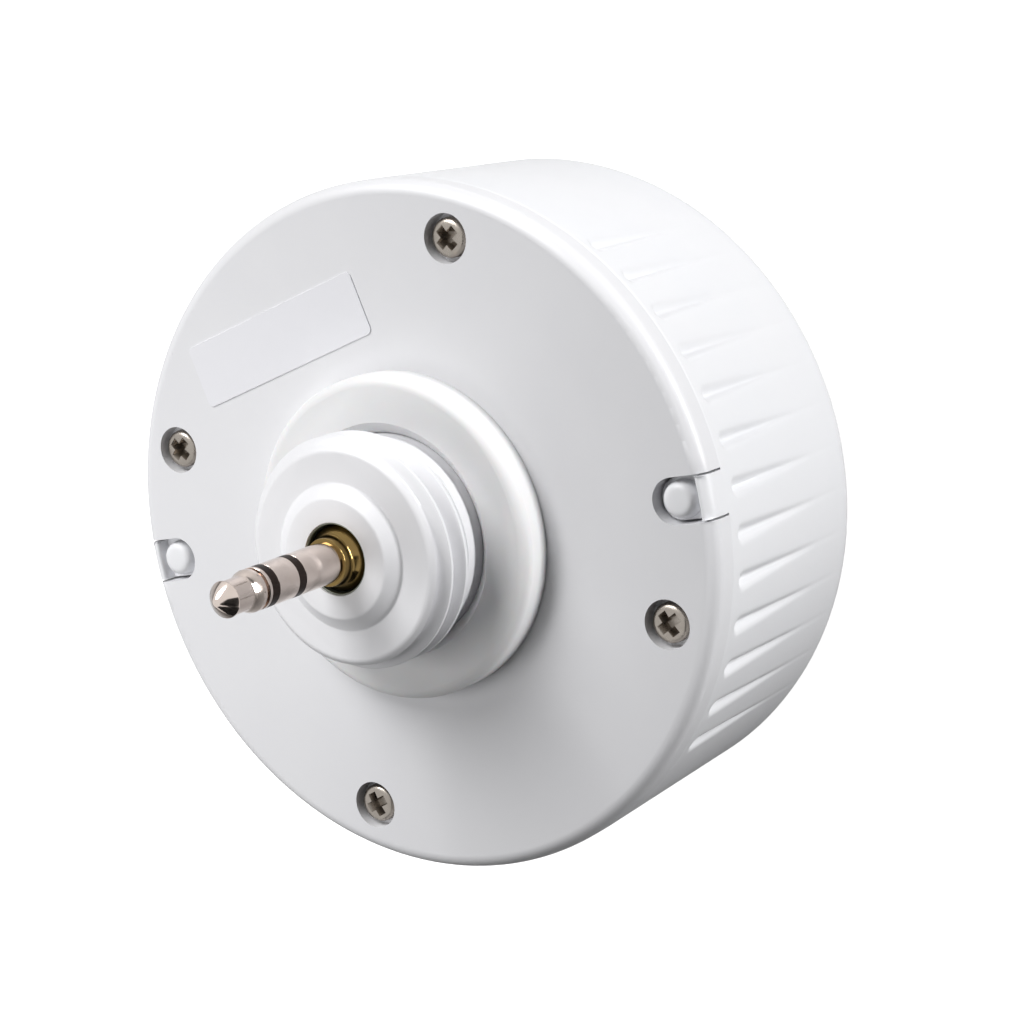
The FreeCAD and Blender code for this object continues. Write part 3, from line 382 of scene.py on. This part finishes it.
def turned(points, steps=128, closed=False):  # points are (radius, height), about the Z axis
    shape = bmesh.new()
    corners = [shape.verts.new((r * mm, 0, z * mm)) for r, z in points]
    pairs = list(zip(corners, corners[1:]))
    if closed:
        pairs.append((corners[-1], corners[0]))
    lines = [shape.edges.new(pair) for pair in pairs]
    bmesh.ops.spin(shape, geom=corners + lines, cent=(0, 0, 0), axis=(0, 0, 1),
                   angle=2 * math.pi, steps=steps, use_merge=True)
    bmesh.ops.remove_doubles(shape, verts=shape.verts, dist=welding["sameSpot"] * mm)
    bmesh.ops.recalc_face_normals(shape, faces=shape.faces)
    return shape


def joinInto(shape, other):
    mesh = bpy.data.meshes.new("joined")
    other.to_mesh(mesh)
    other.free()
    shape.from_mesh(mesh)
    bpy.data.meshes.remove(mesh)


def softened(shape, width, sharper=40, wanted=lambda edge: True, segments=2):
    edges = [e for e in shape.edges if e.is_manifold and wanted(e)
             and e.calc_face_angle(0) > math.radians(sharper)]
    bmesh.ops.bevel(shape, geom=edges, offset=width * mm, offset_type="OFFSET",
                    affect="EDGES", segments=segments, profile=0.5, material=-1,
                    clamp_overlap=True, loop_slide=False)


def newPiece(name, shape, slotName, standsFor=(), sharper=35, finish=None):
    shape.normal_update()
    for face in shape.faces:
        face.smooth = True
    for edge in shape.edges:
        edge.smooth = edge.calc_face_angle(0) < math.radians(sharper)
    mesh = bpy.data.meshes.new(name)
    shape.to_mesh(mesh)
    shape.free()
    piece = bpy.data.objects.new(name, mesh)
    scene.collection.objects.link(piece)
    mesh.materials.append(finishes[finish or slotName])
    even = piece.modifiers.new("evenShading", "WEIGHTED_NORMAL")
    even.keep_sharp = True
    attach(piece, "root")
    if standsFor:
        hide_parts(*standsFor)


# Rear cover: the plate keeps its solid's form with eased edges, and its neck gets a screw thread

neck = {
    "pitch": 2.05,
    "crest": 10.0,
    "root": 8.9,
    "tooth": [(0, 0), (0.35, 0), (0.55, 0.25), (0.85, 0.85), (1.0, 1), (1.25, 1), (1.4, 0.85),
              (1.7, 0.25), (1.9, 0)],  # share of the depth, along one pitch
    "phase": -0.3,  # the crest's height where the helix starts
    "threadStart": 1.2,
    "threadEnd": 6.1,
    "startRadius": 9.0,
    "endRadius": 9.3,
    "startSlope": 1.3,
    "endSlope": 0.8,
    "spareTurns": 2,  # cut off again at the thread's two ends
    "turnSteps": 96,
    "end": [(9.29, 6.11), (9.06, 6.34), (8.93, 6.44), (8.78, 6.49), (8.62, 6.5), (6.36, 6.5),
            (6.27, 6.51), (6.19, 6.56), (6.11, 6.62), (5.2, 7.29), (5.12, 7.35), (5.02, 7.39),
            (4.9, 7.4), (3.2, 7.4), (3.1, 7.37), (3.05, 7.28), (3.05, 2.0), (2.16, 2.0)],
    "seams": [((9.0, -3.0), (8.95, 0)), ((9.3, 6.1), (9.29, 6.11)), ((2.16, 2.0), (2.1, 2.0))],
    "seamReach": (0.07, 0.02),  # how near a seam's radius and height its edges lie
    # Where the solid's own neck and hole lie, which the new ones take the place of
    "oldTop": 5.3,
    "oldSide": (8.9, 10.1),
    "oldFoot": -3.01,
    "oldHole": 3.2,
    "oldHoleFloor": 1.99,
    # The plate's edges, and how far each is rounded
    "backInner": 20,
    "backLow": -5.5,
    "edgeRound": 0.22,
    "farNotch": (-24, 2.3),
    "farNotchRound": 0.07,
    "rimInner": 29.9,
    "rimRound": 0.05,
}


def neckThread():
    shape = bmesh.new()
    depth = neck["crest"] - neck["root"]
    turns = math.ceil(neck["threadEnd"] / neck["pitch"]) + neck["spareTurns"]
    profile = [(neck["root"] + depth * share, z) for z, share in neck["tooth"]]
    profile.append((neck["root"], neck["pitch"]))
    lift = neck["phase"] - neck["pitch"]
    corners = [shape.verts.new((r * mm, 0, (z + lift) * mm)) for r, z in profile]
    lines = [shape.edges.new(pair) for pair in zip(corners, corners[1:])]
    rise = neck["pitch"] / neck["turnSteps"]
    bmesh.ops.spin(shape, geom=corners + lines, cent=(0, 0, 0), axis=(0, 0, 1),
                   dvec=(0, 0, rise * mm), angle=2 * math.pi * turns,
                   steps=neck["turnSteps"] * turns)
    bmesh.ops.remove_doubles(shape, verts=shape.verts, dist=welding["sameSpot"] * mm)
    for height, above in ((0, False), (neck["threadStart"], None), (neck["threadEnd"], True)):
        bmesh.ops.bisect_plane(shape, geom=shape.verts[:] + shape.edges[:] + shape.faces[:],
                               plane_co=(0, 0, height * mm), plane_no=(0, 0, 1),
                               clear_inner=above is False, clear_outer=above is True)
    # The thread rises out of a plain foot, and runs out into a plain end
    for vert in shape.verts:
        z = vert.co.z / mm
        most = min(neck["startRadius"] + neck["startSlope"] * max(0, z - neck["threadStart"]),
                   neck["endRadius"] + neck["threadEnd"] - z)
        least = neck["endRadius"] - neck["endSlope"] * (neck["threadEnd"] - z)
        if z <= neck["threadStart"]:
            least = neck["startRadius"]
        vert.co.xy *= min(max(radiusOf(vert), least), most) / radiusOf(vert)
    bmesh.ops.recalc_face_normals(shape, faces=shape.faces)
    return shape


def rimOf(shape, radius, height):
    aside, above = neck["seamReach"]
    return [e for e in shape.edges if e.is_boundary and all(
        abs(radiusOf(v) - radius) < aside and abs(v.co.z / mm - height) < above
        for v in e.verts)]


def rearCover():
    shape = copyOf("rear_cover")

    def onNeck(vert):
        r, z = radiusOf(vert), vert.co.z / mm
        inner, outer = neck["oldSide"]
        return z > neck["oldTop"] or (inner < r < outer and z > neck["oldFoot"]) or (
            r < neck["oldHole"] and z > neck["oldHoleFloor"])

    bmesh.ops.delete(shape, geom=[f for f in shape.faces if all(map(onNeck, f.verts))],
                     context="FACES")

    def onFarNotch(edge):
        x, half = neck["farNotch"]
        return all(v.co.x < x * mm and abs(v.co.y) < half * mm for v in edge.verts)

    def onBack(edge):
        return all(radiusOf(v) > neck["backInner"] for v in edge.verts) and max(
            v.co.z for v in edge.verts) > neck["backLow"] * mm

    def onRim(edge):
        return min(radiusOf(v) for v in edge.verts) > neck["rimInner"]

    softened(shape, neck["edgeRound"], sharper=50, segments=3,
             wanted=lambda e: onBack(e) and not onFarNotch(e))
    softened(shape, neck["farNotchRound"], sharper=50,
             wanted=lambda e: onBack(e) and onFarNotch(e))
    softened(shape, neck["rimRound"], sharper=50, wanted=onRim)
    joinInto(shape, neckThread())
    joinInto(shape, turned(neck["end"]))
    for low, high in neck["seams"]:
        first = rimOf(shape, *low)
        second = [e for e in rimOf(shape, *high) if e not in first]
        made = bmesh.ops.bridge_loops(shape, edges=first + second)["faces"]
        for face in made:
            middle = face.calc_center_median()
            outward = Vector((0, 0, 1))
            if low[0] > neck["oldHole"]:
                outward = Vector((middle.x, middle.y, 0))
            if face.normal.dot(outward) < 0:
                face.normal_flip()
        bmesh.ops.dissolve_degenerate(shape, dist=welding["sliver"] * mm,
                                      edges=list({e for f in made for e in f.edges}))
    newPiece("rearCover", shape, "cover_plastic", ["rear_cover"])


rearCover()
print("rear cover done")


# Front housing: its wall is made finer than the solid's, with soft grip grooves, and its keys
# carry on the cover's rounded rim

housing = {
    "radius": 30,
    "wall": [(30, -5.6), (29.997, -5.7)],
    "front": [(29.43, -26.8), (29.33, -27.26), (29.05, -27.65), (28.66, -27.91), (28.2, -28),
              (27.95, -27.975)],  # the last step tucks under the solid's flat front
    "draft": 0.6 / 22.4,  # the wall's inset over its height
    "steps": 1080,
    "rowsAbove": [-6.1],
    "fineRows": (0.9, 0.12, 12),  # start above the grooves' deepest point, step and number
    "coarseRows": (0.45, 30, 0.6),  # step, most rows, and reach past the grooves' ends
    "rowsBelow": [-24, -26],
    "parting": -5.6,
    "partingReach": 0.01,
    "partingRound": 0.05,
    "grooves": 13,
    "groovePitch": 7.4,  # degrees
    "grooveDeepest": -7.5,
    "grooveEnd": -20.5,
    "grooveDepth": 0.6,
    "grooveSoft": 0.14,
    "grooveFade": 0.08,  # share of the softness that leaves the wall plain
    "keyHalf": 1.77,
    "keyFloor": -4.3,
    "keyInner": 26.65,
    "keyTurn": 0.08,  # radians to each side, before the lip is cut to keyHalf
    "keySteps": 24,
    "keyOverlap": 0.1,
    "lip": [(28.8, -4.3), (28.84, -3.42), (28.9, -3.2), (29.0, -3.08), (29.14, -3.07),
            (29.3, -3.13), (29.52, -3.26), (29.75, -3.48), (29.9, -3.76), (29.98, -4.05),
            (30, -4.25), (30, -5.61)],
    "post": [(1.6, -4.35), (1.59, -3.95), (1.53, -3.6), (1.42, -3.33), (1.25, -3.15),
             (1.02, -3.06), (0.8, -3.04), (0, -3.04)],
    "postAt": 27.0,
    "postSteps": 48,
    # Where the solid's own wall, rim and opening lie
    "oldWall": 28.1,
    "oldRim": 29.5,
    "tuckedRim": 29.85,
    "opening": (15.2, -27.9),
    "openingRound": 0.15,
}


def grooveDepth(angle, z):  # angle in degrees, z in millimetres
    pitch, reach = housing["groovePitch"], (housing["grooves"] - 1) / 2
    angle = (angle + 90) % 180 - 90  # the fans round +X and round -X are alike
    number = max(-reach, min(reach, round(angle / pitch)))
    side = math.radians(angle - number * pitch) * housing["radius"]
    below = housing["grooveDeepest"] - z
    depth = housing["grooveDepth"]
    soft = housing["grooveSoft"]
    if below < 0:
        side = math.hypot(side, below)
    else:
        depth *= 1 - below / (housing["grooveDeepest"] - housing["grooveEnd"])
    cut = depth - math.hypot(side, soft) + soft
    return max(0, (cut + math.hypot(cut, soft)) / 2 - soft * housing["grooveFade"])


def wallHeights():
    above, step, count = housing["fineRows"]
    fine = [housing["grooveDeepest"] + above - step * i for i in range(count)]
    step, count, past = housing["coarseRows"]
    coarse = [fine[-1] - step * i for i in range(1, count + 1)]
    coarse = [z for z in coarse if z > housing["grooveEnd"] - past]
    return housing["rowsAbove"] + fine + coarse + housing["rowsBelow"]


def housingWall():
    drafted = [(housing["radius"] + housing["draft"] * (z - housing["parting"]), z)
               for z in wallHeights()]
    shape = turned(housing["wall"] + drafted + housing["front"], housing["steps"])
    for vert in shape.verts:
        z = vert.co.z / mm
        cut = grooveDepth(math.degrees(math.atan2(vert.co.y, vert.co.x)), z)
        atParting = z > housing["parting"] - housing["partingReach"]
        if atParting and abs(vert.co.y) > housing["keyHalf"] * mm:
            cut = housing["partingRound"]
        vert.co.xy *= 1 - cut / radiusOf(vert)
    return shape


def housingKey():
    half = housing["keyHalf"] * mm
    shape = bmesh.new()
    corners = [shape.verts.new((r * mm, 0, z * mm)) for r, z in housing["lip"]]
    lines = [shape.edges.new(pair) for pair in zip(corners, corners[1:])]
    bmesh.ops.rotate(shape, verts=corners, cent=(0, 0, 0),
                     matrix=Matrix.Rotation(-housing["keyTurn"], 3, "Z"))
    bmesh.ops.spin(shape, geom=corners + lines, cent=(0, 0, 0), axis=(0, 0, 1),
                   angle=2 * housing["keyTurn"], steps=housing["keySteps"])
    bmesh.ops.recalc_face_normals(shape, faces=shape.faces)
    for side in (-1, 1):
        bmesh.ops.bisect_plane(shape, geom=shape.verts[:] + shape.edges[:] + shape.faces[:],
                               plane_co=(0, side * half, 0), plane_no=(0, side, 0),
                               clear_outer=True)
        edge = [e for e in shape.edges if all(
            abs(v.co.y - side * half) < welding["sameSpot"] * mm for v in e.verts)]
        bmesh.ops.contextual_create(shape, geom=edge)
    # Floor with its round inner end
    inner = shape.verts.new((housing["keyInner"] * mm, half, housing["keyFloor"] * mm))
    spun = bmesh.ops.spin(shape, geom=[inner], cent=(housing["keyInner"] * mm, 0, 0),
                          axis=(0, 0, 1), angle=math.pi,
                          steps=housing["keySteps"])["geom_last"]
    outer = bmesh.ops.extrude_vert_indiv(shape, verts=[inner] + spun)
    for vert in outer["verts"]:
        vert.co.x = (housing["lip"][0][0] + housing["keyOverlap"]) * mm
    ends = [v for v in shape.verts if v.is_valid and not v.link_faces]
    border = {e for v in ends for e in v.link_edges}
    border.add(shape.edges.new(outer["verts"]))
    floor = bmesh.ops.contextual_create(shape, geom=list(border))["faces"]
    bmesh.ops.recalc_face_normals(shape, faces=floor)
    if floor[0].normal.z < 0:
        floor[0].normal_flip()
    walls = bmesh.ops.extrude_edge_only(shape, edges=list(border))["geom"]
    low = [v for v in walls if isinstance(v, bmesh.types.BMVert)]
    drop = (housing["parting"] - housing["keyFloor"]) * mm
    bmesh.ops.translate(shape, verts=low, vec=(0, 0, drop))
    post = turned(housing["post"], housing["postSteps"])
    bmesh.ops.translate(post, verts=post.verts, vec=(housing["postAt"] * mm, 0, 0))
    joinInto(shape, post)
    return shape


def frontHousing():
    shape = copyOf("front_housing")
    parting, reach = housing["parting"], housing["partingReach"]

    def onWall(vert):
        return radiusOf(vert) > housing["oldWall"] and vert.co.z / mm < parting + reach

    def onKey(vert):
        return vert.co.z / mm > parting - reach

    gone = [f for f in shape.faces if all(map(onWall, f.verts)) or (
        all(map(onKey, f.verts)) and f.calc_center_median().z / mm > parting + 2 * reach)]
    bmesh.ops.delete(shape, geom=gone, context="FACES")
    for vert in shape.verts:
        if onKey(vert) and radiusOf(vert) > housing["oldRim"]:
            vert.co.xy *= housing["tuckedRim"] / radiusOf(vert)
    radius, height = housing["opening"]
    softened(shape, housing["openingRound"], sharper=50, wanted=lambda e: all(
        radiusOf(v) < radius and v.co.z / mm < height for v in e.verts))
    joinInto(shape, housingWall())
    for turn in (0, math.pi):
        key = housingKey()
        bmesh.ops.rotate(key, verts=key.verts, cent=(0, 0, 0),
                         matrix=Matrix.Rotation(turn, 3, "Z"))
        joinInto(shape, key)
    newPiece("frontHousing", shape, "housing_plastic", ["front_housing"], sharper=50)


frontHousing()
print("front housing done")


# Cover screws: domed heads with a tapered cross recess

screws = {
    "circle": 25.8,
    "first": 67.5,  # degrees from +X
    "turns": (33, 41, 20, 28),
    "top": -3.16,
    "flat": 1.3,
    "dome": 0.13,
    "steps": 48,
    "side": [(1.47, -0.19), (1.6, -0.3), (1.68, -0.46), (1.7, -0.65), (1.7, -1.29),
             (1.2, -1.29), (1.2, -8.9), (0.3, -9.29)],
    "armHalf": 0.4,
    "armReach": 1.06,
    "crossDepth": 1.3,
    "crossTaper": 0.72,
    "crossRound": 0.05,
    "mouthReach": 0.01,  # how far below the flat top the mouth's edges count
    "domeReach": 0.2,
}


def coverScrew():
    # Three by three squares, two across, without their corners: the mouth of the cross
    shape = bmesh.new()
    bmesh.ops.create_grid(shape, x_segments=3, y_segments=3, size=1)
    outer = 0.5  # beyond it lie the arms' ends, within it their sides
    bmesh.ops.delete(shape, context="FACES", geom=[
        f for f in shape.faces if min(abs(f.calc_center_median().x),
                                      abs(f.calc_center_median().y)) > outer])
    for vert in shape.verts:
        for axis in (0, 1):
            size = screws["armReach"] if abs(vert.co[axis]) > outer else screws["armHalf"]
            vert.co[axis] = math.copysign(size * mm, vert.co[axis])
    mouth = shape.faces[:]
    floor = bmesh.ops.extrude_face_region(shape, geom=mouth)["geom"]
    bmesh.ops.delete(shape, geom=[f for f in mouth if f.is_valid], context="FACES_ONLY")
    low = [v for v in floor if isinstance(v, bmesh.types.BMVert)]
    bmesh.ops.translate(shape, verts=low, vec=(0, 0, -screws["crossDepth"] * mm))
    bmesh.ops.scale(shape, verts=low, vec=(screws["crossTaper"], screws["crossTaper"], 1))
    cross = [e for e in shape.edges if e.is_boundary]
    ring = bmesh.ops.create_circle(shape, cap_ends=False, segments=screws["steps"],
                                   radius=screws["flat"] * mm)["verts"]
    rim = list({e for v in ring for e in v.link_edges})
    bmesh.ops.triangle_fill(shape, use_beauty=True, edges=cross + rim)
    bmesh.ops.recalc_face_normals(shape, faces=shape.faces)
    softened(shape, screws["crossRound"], sharper=40, wanted=lambda e: all(
        v.co.z > -screws["mouthReach"] * mm for v in e.verts))
    for vert in shape.verts:
        if vert.co.z > -screws["domeReach"] * mm:
            vert.co.z -= screws["dome"] * mm * (radiusOf(vert) / screws["flat"]) ** 2
    for radius, height in screws["side"]:
        made = bmesh.ops.extrude_edge_only(shape, edges=rim)["geom"]
        rim = [e for e in made if isinstance(e, bmesh.types.BMEdge)]
        for vert in {v for e in rim for v in e.verts}:
            vert.co.xy *= radius / radiusOf(vert)
            vert.co.z = height * mm
    bmesh.ops.contextual_create(shape, geom=rim)
    bmesh.ops.recalc_face_normals(shape, faces=shape.faces)
    return shape


def coverScrews():
    shape = bmesh.new()
    for i, turn in enumerate(screws["turns"]):
        screw = coverScrew()
        bmesh.ops.rotate(screw, verts=screw.verts, cent=(0, 0, 0),
                         matrix=Matrix.Rotation(math.radians(turn), 3, "Z"))
        angle = math.radians(screws["first"] + 90 * i)
        bmesh.ops.translate(screw, verts=screw.verts, vec=(
            screws["circle"] * mm * math.cos(angle), screws["circle"] * mm * math.sin(angle),
            screws["top"] * mm))
        joinInto(shape, screw)
    # The heads' darkened nickel is partly painted dark reflection
    newPiece("coverScrews", shape, "screw_steel", ["cover_screws"])


coverScrews()
print("cover screws done")


# Audio plug: contacts and insulators with eased edges, and the metal lining of its hole

plug = {
    "radius": 1.75,
    "steps": 96,
    "liningSteps": 128,
    "ease": 0.02,
    # Piece, node, slot, bore, foot, top, and the radius and end of the tube inside the body
    "contacts": [
        ("plugFrontInsulator", "plug_front_insulator", "plug_insulator", 0.475, 16.7, 17.6,
         0.7, -11.05),
        ("plugRing", "plug_ring", "plug_nickel", 0.725, 14.2, 16.7, 0.95, -10.5),
        ("plugRearInsulator", "plug_rear_insulator", "plug_insulator", 0.975, 13.3, 14.2,
         1.2, -9.95),
        ("plugSleeve", "plug_sleeve", "plug_nickel", 1.225, 8.6, 13.3, 1.5, -9.4),
    ],
    "tip": [(0, -11.6), (0.45, -11.6), (0.45, 17.6), (1.73, 17.6), (1.75, 17.62), (1.75, 17.9),
            (1.72, 17.93), (1.36, 17.95), (1.36, 18.27), (1.72, 18.29), (1.75, 18.32),
            (1.75, 18.66), (1.73, 18.78), (1.5, 19.34), (1.44, 19.46), (1.42, 19.6),
            (1.42, 21.3), (1.45, 21.35), (1.48, 21.38), (1.5, 21.44), (1.47, 21.5),
            (0.42, 22.47), (0.3, 22.55), (0.16, 22.59), (0, 22.6)],
    "lining": [(3.045, 7.24), (2.97, 7.26), (2.92, 7.2), (2.92, 2.2), (2.08, 2.2), (2.08, 2.02),
               (3.045, 2.02)],
    "collar": [(1.53, -8.2), (3.9, -8.2), (3.9, -7.0), (2.05, -7.0), (2.05, 5.6), (2.78, 5.8),
               (2.78, 6.85), (2.74, 6.98), (2.2, 7.56), (2.08, 7.74), (2.05, 7.95), (2.05, 8.5),
               (2.02, 8.57), (1.95, 8.6), (1.53, 8.6)],
}


# A ring on the plug's outside, and the tube that it goes on as inside the body
def contact(bore, foot, top, tube, end):
    radius, ease = plug["radius"], plug["ease"]
    return turned([(bore, end), (tube, end), (tube, foot), (radius - ease, foot),
                   (radius, foot + ease), (radius, top - ease), (radius - ease, top),
                   (bore, top)], plug["steps"], closed=True)


def audioPlug():
    newPiece("plugTip", turned(plug["tip"], plug["steps"]), "plug_nickel", ["plug_tip"],
             sharper=30)
    for name, node, slotName, *sizes in plug["contacts"]:
        newPiece(name, contact(*sizes), slotName, [node], sharper=30)
    # The collar's darkened brass is painted shade for the hole it sits in
    newPiece("plugCollar", turned(plug["collar"], plug["steps"], closed=True), "plug_brass",
             ["plug_collar"], sharper=30)
    # The lining's dull grey-green is partly painted shade for the dim hole
    newPiece("holeLining", turned(plug["lining"], plug["liningSteps"], closed=True),
             "screw_steel", sharper=30, finish="zinc_hole_shade")


audioPlug()
print("audio plug done")


# Back label: thin film with round corners

label = {
    "centre": (-9.75, 17.95),
    "size": (19.9, 5.6),
    "thick": 0.1,
    "turn": 12,
    "corner": 0.5,
    "edge": 0.03,
    "under": -3.0,
}


def backLabel():
    shape = bmesh.new()
    bmesh.ops.create_grid(shape, x_segments=1, y_segments=1, size=0.5)
    bmesh.ops.scale(shape, verts=shape.verts,
                    vec=(label["size"][0] * mm, label["size"][1] * mm, 1))
    bmesh.ops.bevel(shape, geom=shape.verts[:], offset=label["corner"] * mm,
                    offset_type="OFFSET", affect="VERTICES", segments=6, profile=0.5,
                    material=-1)
    made = bmesh.ops.extrude_face_region(shape, geom=shape.faces[:])["geom"]
    bmesh.ops.translate(shape, verts=[v for v in made if isinstance(v, bmesh.types.BMVert)],
                        vec=(0, 0, label["thick"] * mm))
    bmesh.ops.recalc_face_normals(shape, faces=shape.faces)
    softened(shape, label["edge"], sharper=50, wanted=lambda e: all(
        v.co.z > label["thick"] / 2 * mm for v in e.verts))
    bmesh.ops.rotate(shape, verts=shape.verts, cent=(0, 0, 0),
                     matrix=Matrix.Rotation(math.radians(label["turn"]), 3, "Z"))
    x, y = label["centre"]
    bmesh.ops.translate(shape, verts=shape.verts, vec=(x * mm, y * mm, label["under"] * mm))
    newPiece("backLabel", shape, "label_film", ["back_label"])


backLabel()
print("back label done")


# Lens dome: a thin milky shell, moulded as rings of small lenses that meet in shallow seams

lens = {
    "centre": -21.12,  # height of the sphere's middle
    "sphere": 16.18,
    "radius": 14.5,
    "rows": 64,
    "steps": 384,
    # Inner and outer radius of each ring, and how many lenses it has
    "rings": [(0, 2.4, 1), (2.4, 5.6, 6), (5.6, 8.6, 12), (8.6, 11.3, 18), (11.3, 13.6, 24)],
    "seamWidth": 0.3,
    "seamDepth": 0.09,
    "seamTop": -28.31,
    "seamInner": 16.1,  # distance from the sphere's middle beyond which the skin lies
    "flange": [(14.5, -28.3), (14.5, -25.6), (15.7, -25.6), (15.7, -24.6), (13.6, -24.6),
               (13.6, -28.3)],
    "hollow": (13.6, -28.3, 8.1),  # radius, height of its middle, and depth
    "hollowRows": 12,
}


def seamDepth(vert):
    r = radiusOf(vert)
    around = math.degrees(math.atan2(vert.co.y, vert.co.x)) % 360
    near = min(abs(r - outer) for inner, outer, count in lens["rings"])
    for inner, outer, count in lens["rings"]:
        if inner < r <= outer and count > 1:
            # Every second ring is turned by half a lens
            share = around * count / 360 + (0.5 if count % 12 else 0)
            near = min(near, abs(share - round(share)) / count * 2 * math.pi * r)
    return lens["seamDepth"] * math.exp(-(near / lens["seamWidth"]) ** 2)


def lensDome():
    cut = math.asin(lens["radius"] / lens["sphere"])
    angles = [cut * i / lens["rows"] for i in range(lens["rows"] + 1)]
    outside = [(lens["sphere"] * math.sin(a), lens["centre"] - lens["sphere"] * math.cos(a))
               for a in angles]
    quarter = [math.pi / 2 * i / lens["hollowRows"] for i in range(lens["hollowRows"])]
    bore, foot, depth = lens["hollow"]
    inside = [(bore * math.sin(a), foot - depth * math.cos(a)) for a in quarter]
    points = outside + lens["flange"] + inside[::-1]
    shape = turned(points, lens["steps"])
    middle = Vector((0, 0, lens["centre"] * mm))
    for vert in shape.verts:
        outward = vert.co - middle
        if vert.co.z < lens["seamTop"] * mm and outward.length > lens["seamInner"] * mm:
            vert.co -= outward.normalized() * seamDepth(vert) * mm
    newPiece("lensDome", shape, "lens_plastic", ["lens_dome"])


lensDome()
print("lens dome done")


# Stage: pale floor, plain studio light, and dark cards that only polished surfaces show

stage = {
    "floorSize": 4.0,  # metres
    "floorBelow": 0.02,  # millimetres, under the lens
    "floorSeen": "#EDEDED",
    "floorShade": "#707070",  # its colour as it lights the sensor
    "floorGlow": 0.95,
    "sky": 0.045,
    "card": "#141414",
    "lamps": {  # direction, distance and size in metres, power in watts
        "keyLamp": ((-0.20, 0.77, 0.61), 0.40, (0.22, 0.22), 1.48),
        "nearLamp": ((-0.52, -0.10, 0.85), 0.085, (0.05, 0.05), 0.031),
        "wallLamp": ((0.96, 0.25, -0.04), 0.50, (0.40, 0.03), 2.48),
    },
    "softLamps": ["nearLamp"],  # polished surfaces don't show these
    "cards": {  # direction, distance and size in metres
        "sideCard": ((0.70, -0.40, 0.60), 0.45, (0.42, 0.26)),
        "lowCard": ((0.05, -0.93, 0.30), 0.40, (0.50, 0.26)),
    },
}


def aimed(thing, direction, distance):
    toThing = Vector(direction).normalized()
    thing.location = toThing * distance
    thing.rotation_mode = "QUATERNION"
    thing.rotation_quaternion = toThing.to_track_quat("Z", "Y")


# Whether a ray comes straight from the camera, or by way of a mirror or of glass
def seenDirectly(tree):
    path = addNode(tree, "ShaderNodeLightPath")
    first = addNode(tree, "ShaderNodeMath", {"operation": "MAXIMUM"},
                    {0: path.outputs["Is Camera Ray"], 1: path.outputs["Is Glossy Ray"]})
    seen = addNode(tree, "ShaderNodeMath", {"operation": "MAXIMUM"},
                   {0: first.outputs[0], 1: path.outputs["Is Transmission Ray"]})
    return path, seen.outputs[0]


def plane(name, width, height, material):
    shape = bmesh.new()
    bmesh.ops.create_grid(shape, x_segments=1, y_segments=1, size=0.5)
    bmesh.ops.scale(shape, verts=shape.verts, vec=(width, height, 1))
    mesh = bpy.data.meshes.new(name)
    shape.to_mesh(mesh)
    shape.free()
    mesh.materials.append(material)
    thing = bpy.data.objects.new(name, mesh)
    scene.collection.objects.link(thing)
    return thing


def makeFloor():
    material, tree, surface = newMaterial("paleFloor", Roughness=0.9)[:3]
    path, seen = seenDirectly(tree)
    tone = addNode(tree, "ShaderNodeMix", {"data_type": "RGBA", 6: toLinear(stage["floorShade"]),
                                           7: toLinear(stage["floorSeen"])}, {0: seen})
    tree.links.new(tone.outputs[2], surface.inputs["Base Color"])
    glow = addNode(tree, "ShaderNodeEmission", {"Color": (1, 1, 1, 1),
                                                "Strength": stage["floorGlow"]})
    lit = addNode(tree, "ShaderNodeAddShader", links={0: surface.outputs[0],
                                                      1: glow.outputs[0]})
    shown = addNode(tree, "ShaderNodeMixShader", links={0: path.outputs["Is Camera Ray"],
                                                        1: surface.outputs[0],
                                                        2: lit.outputs[0]})
    tree.links.new(shown.outputs[0], tree.nodes["Material Output"].inputs["Surface"])
    floor = plane("floor", stage["floorSize"], stage["floorSize"], material)
    floor.location.z = cadBounds[0].z - stage["floorBelow"] * mm


def makeCards():
    black = newMaterial("blackCard", Roughness=1.0, Base_Color=toLinear(stage["card"]))[0]
    for name, (direction, distance, (width, height)) in stage["cards"].items():
        card = plane(name, width, height, black)
        aimed(card, direction, distance)
        card.visible_camera = False
        card.visible_diffuse = False
        card.visible_transmission = False
        card.visible_shadow = False


def makeLight():
    for name, (direction, distance, (width, height), power) in stage["lamps"].items():
        data = bpy.data.lights.new(name, "AREA")
        data.shape = "RECTANGLE"
        data.size = width
        data.size_y = height
        data.energy = power
        lamp = bpy.data.objects.new(name, data)
        scene.collection.objects.link(lamp)
        aimed(lamp, direction, distance)
        lamp.visible_camera = False
        lamp.visible_glossy = name not in stage["softLamps"]
    world = bpy.data.worlds.new("studio")
    world.use_nodes = True
    tree = world.node_tree
    seen = seenDirectly(tree)[1]
    strength = addNode(tree, "ShaderNodeMapRange", {"To Min": stage["sky"], "To Max": 1.0},
                       {"Value": seen})
    sky = tree.nodes["Background"]
    sky.inputs["Color"].default_value = (1, 1, 1, 1)
    tree.links.new(strength.outputs[0], sky.inputs["Strength"])
    scene.world = world
    scene.view_settings.view_transform = "Standard"


makeFloor()
makeCards()
makeLight()
print("stage and light done")
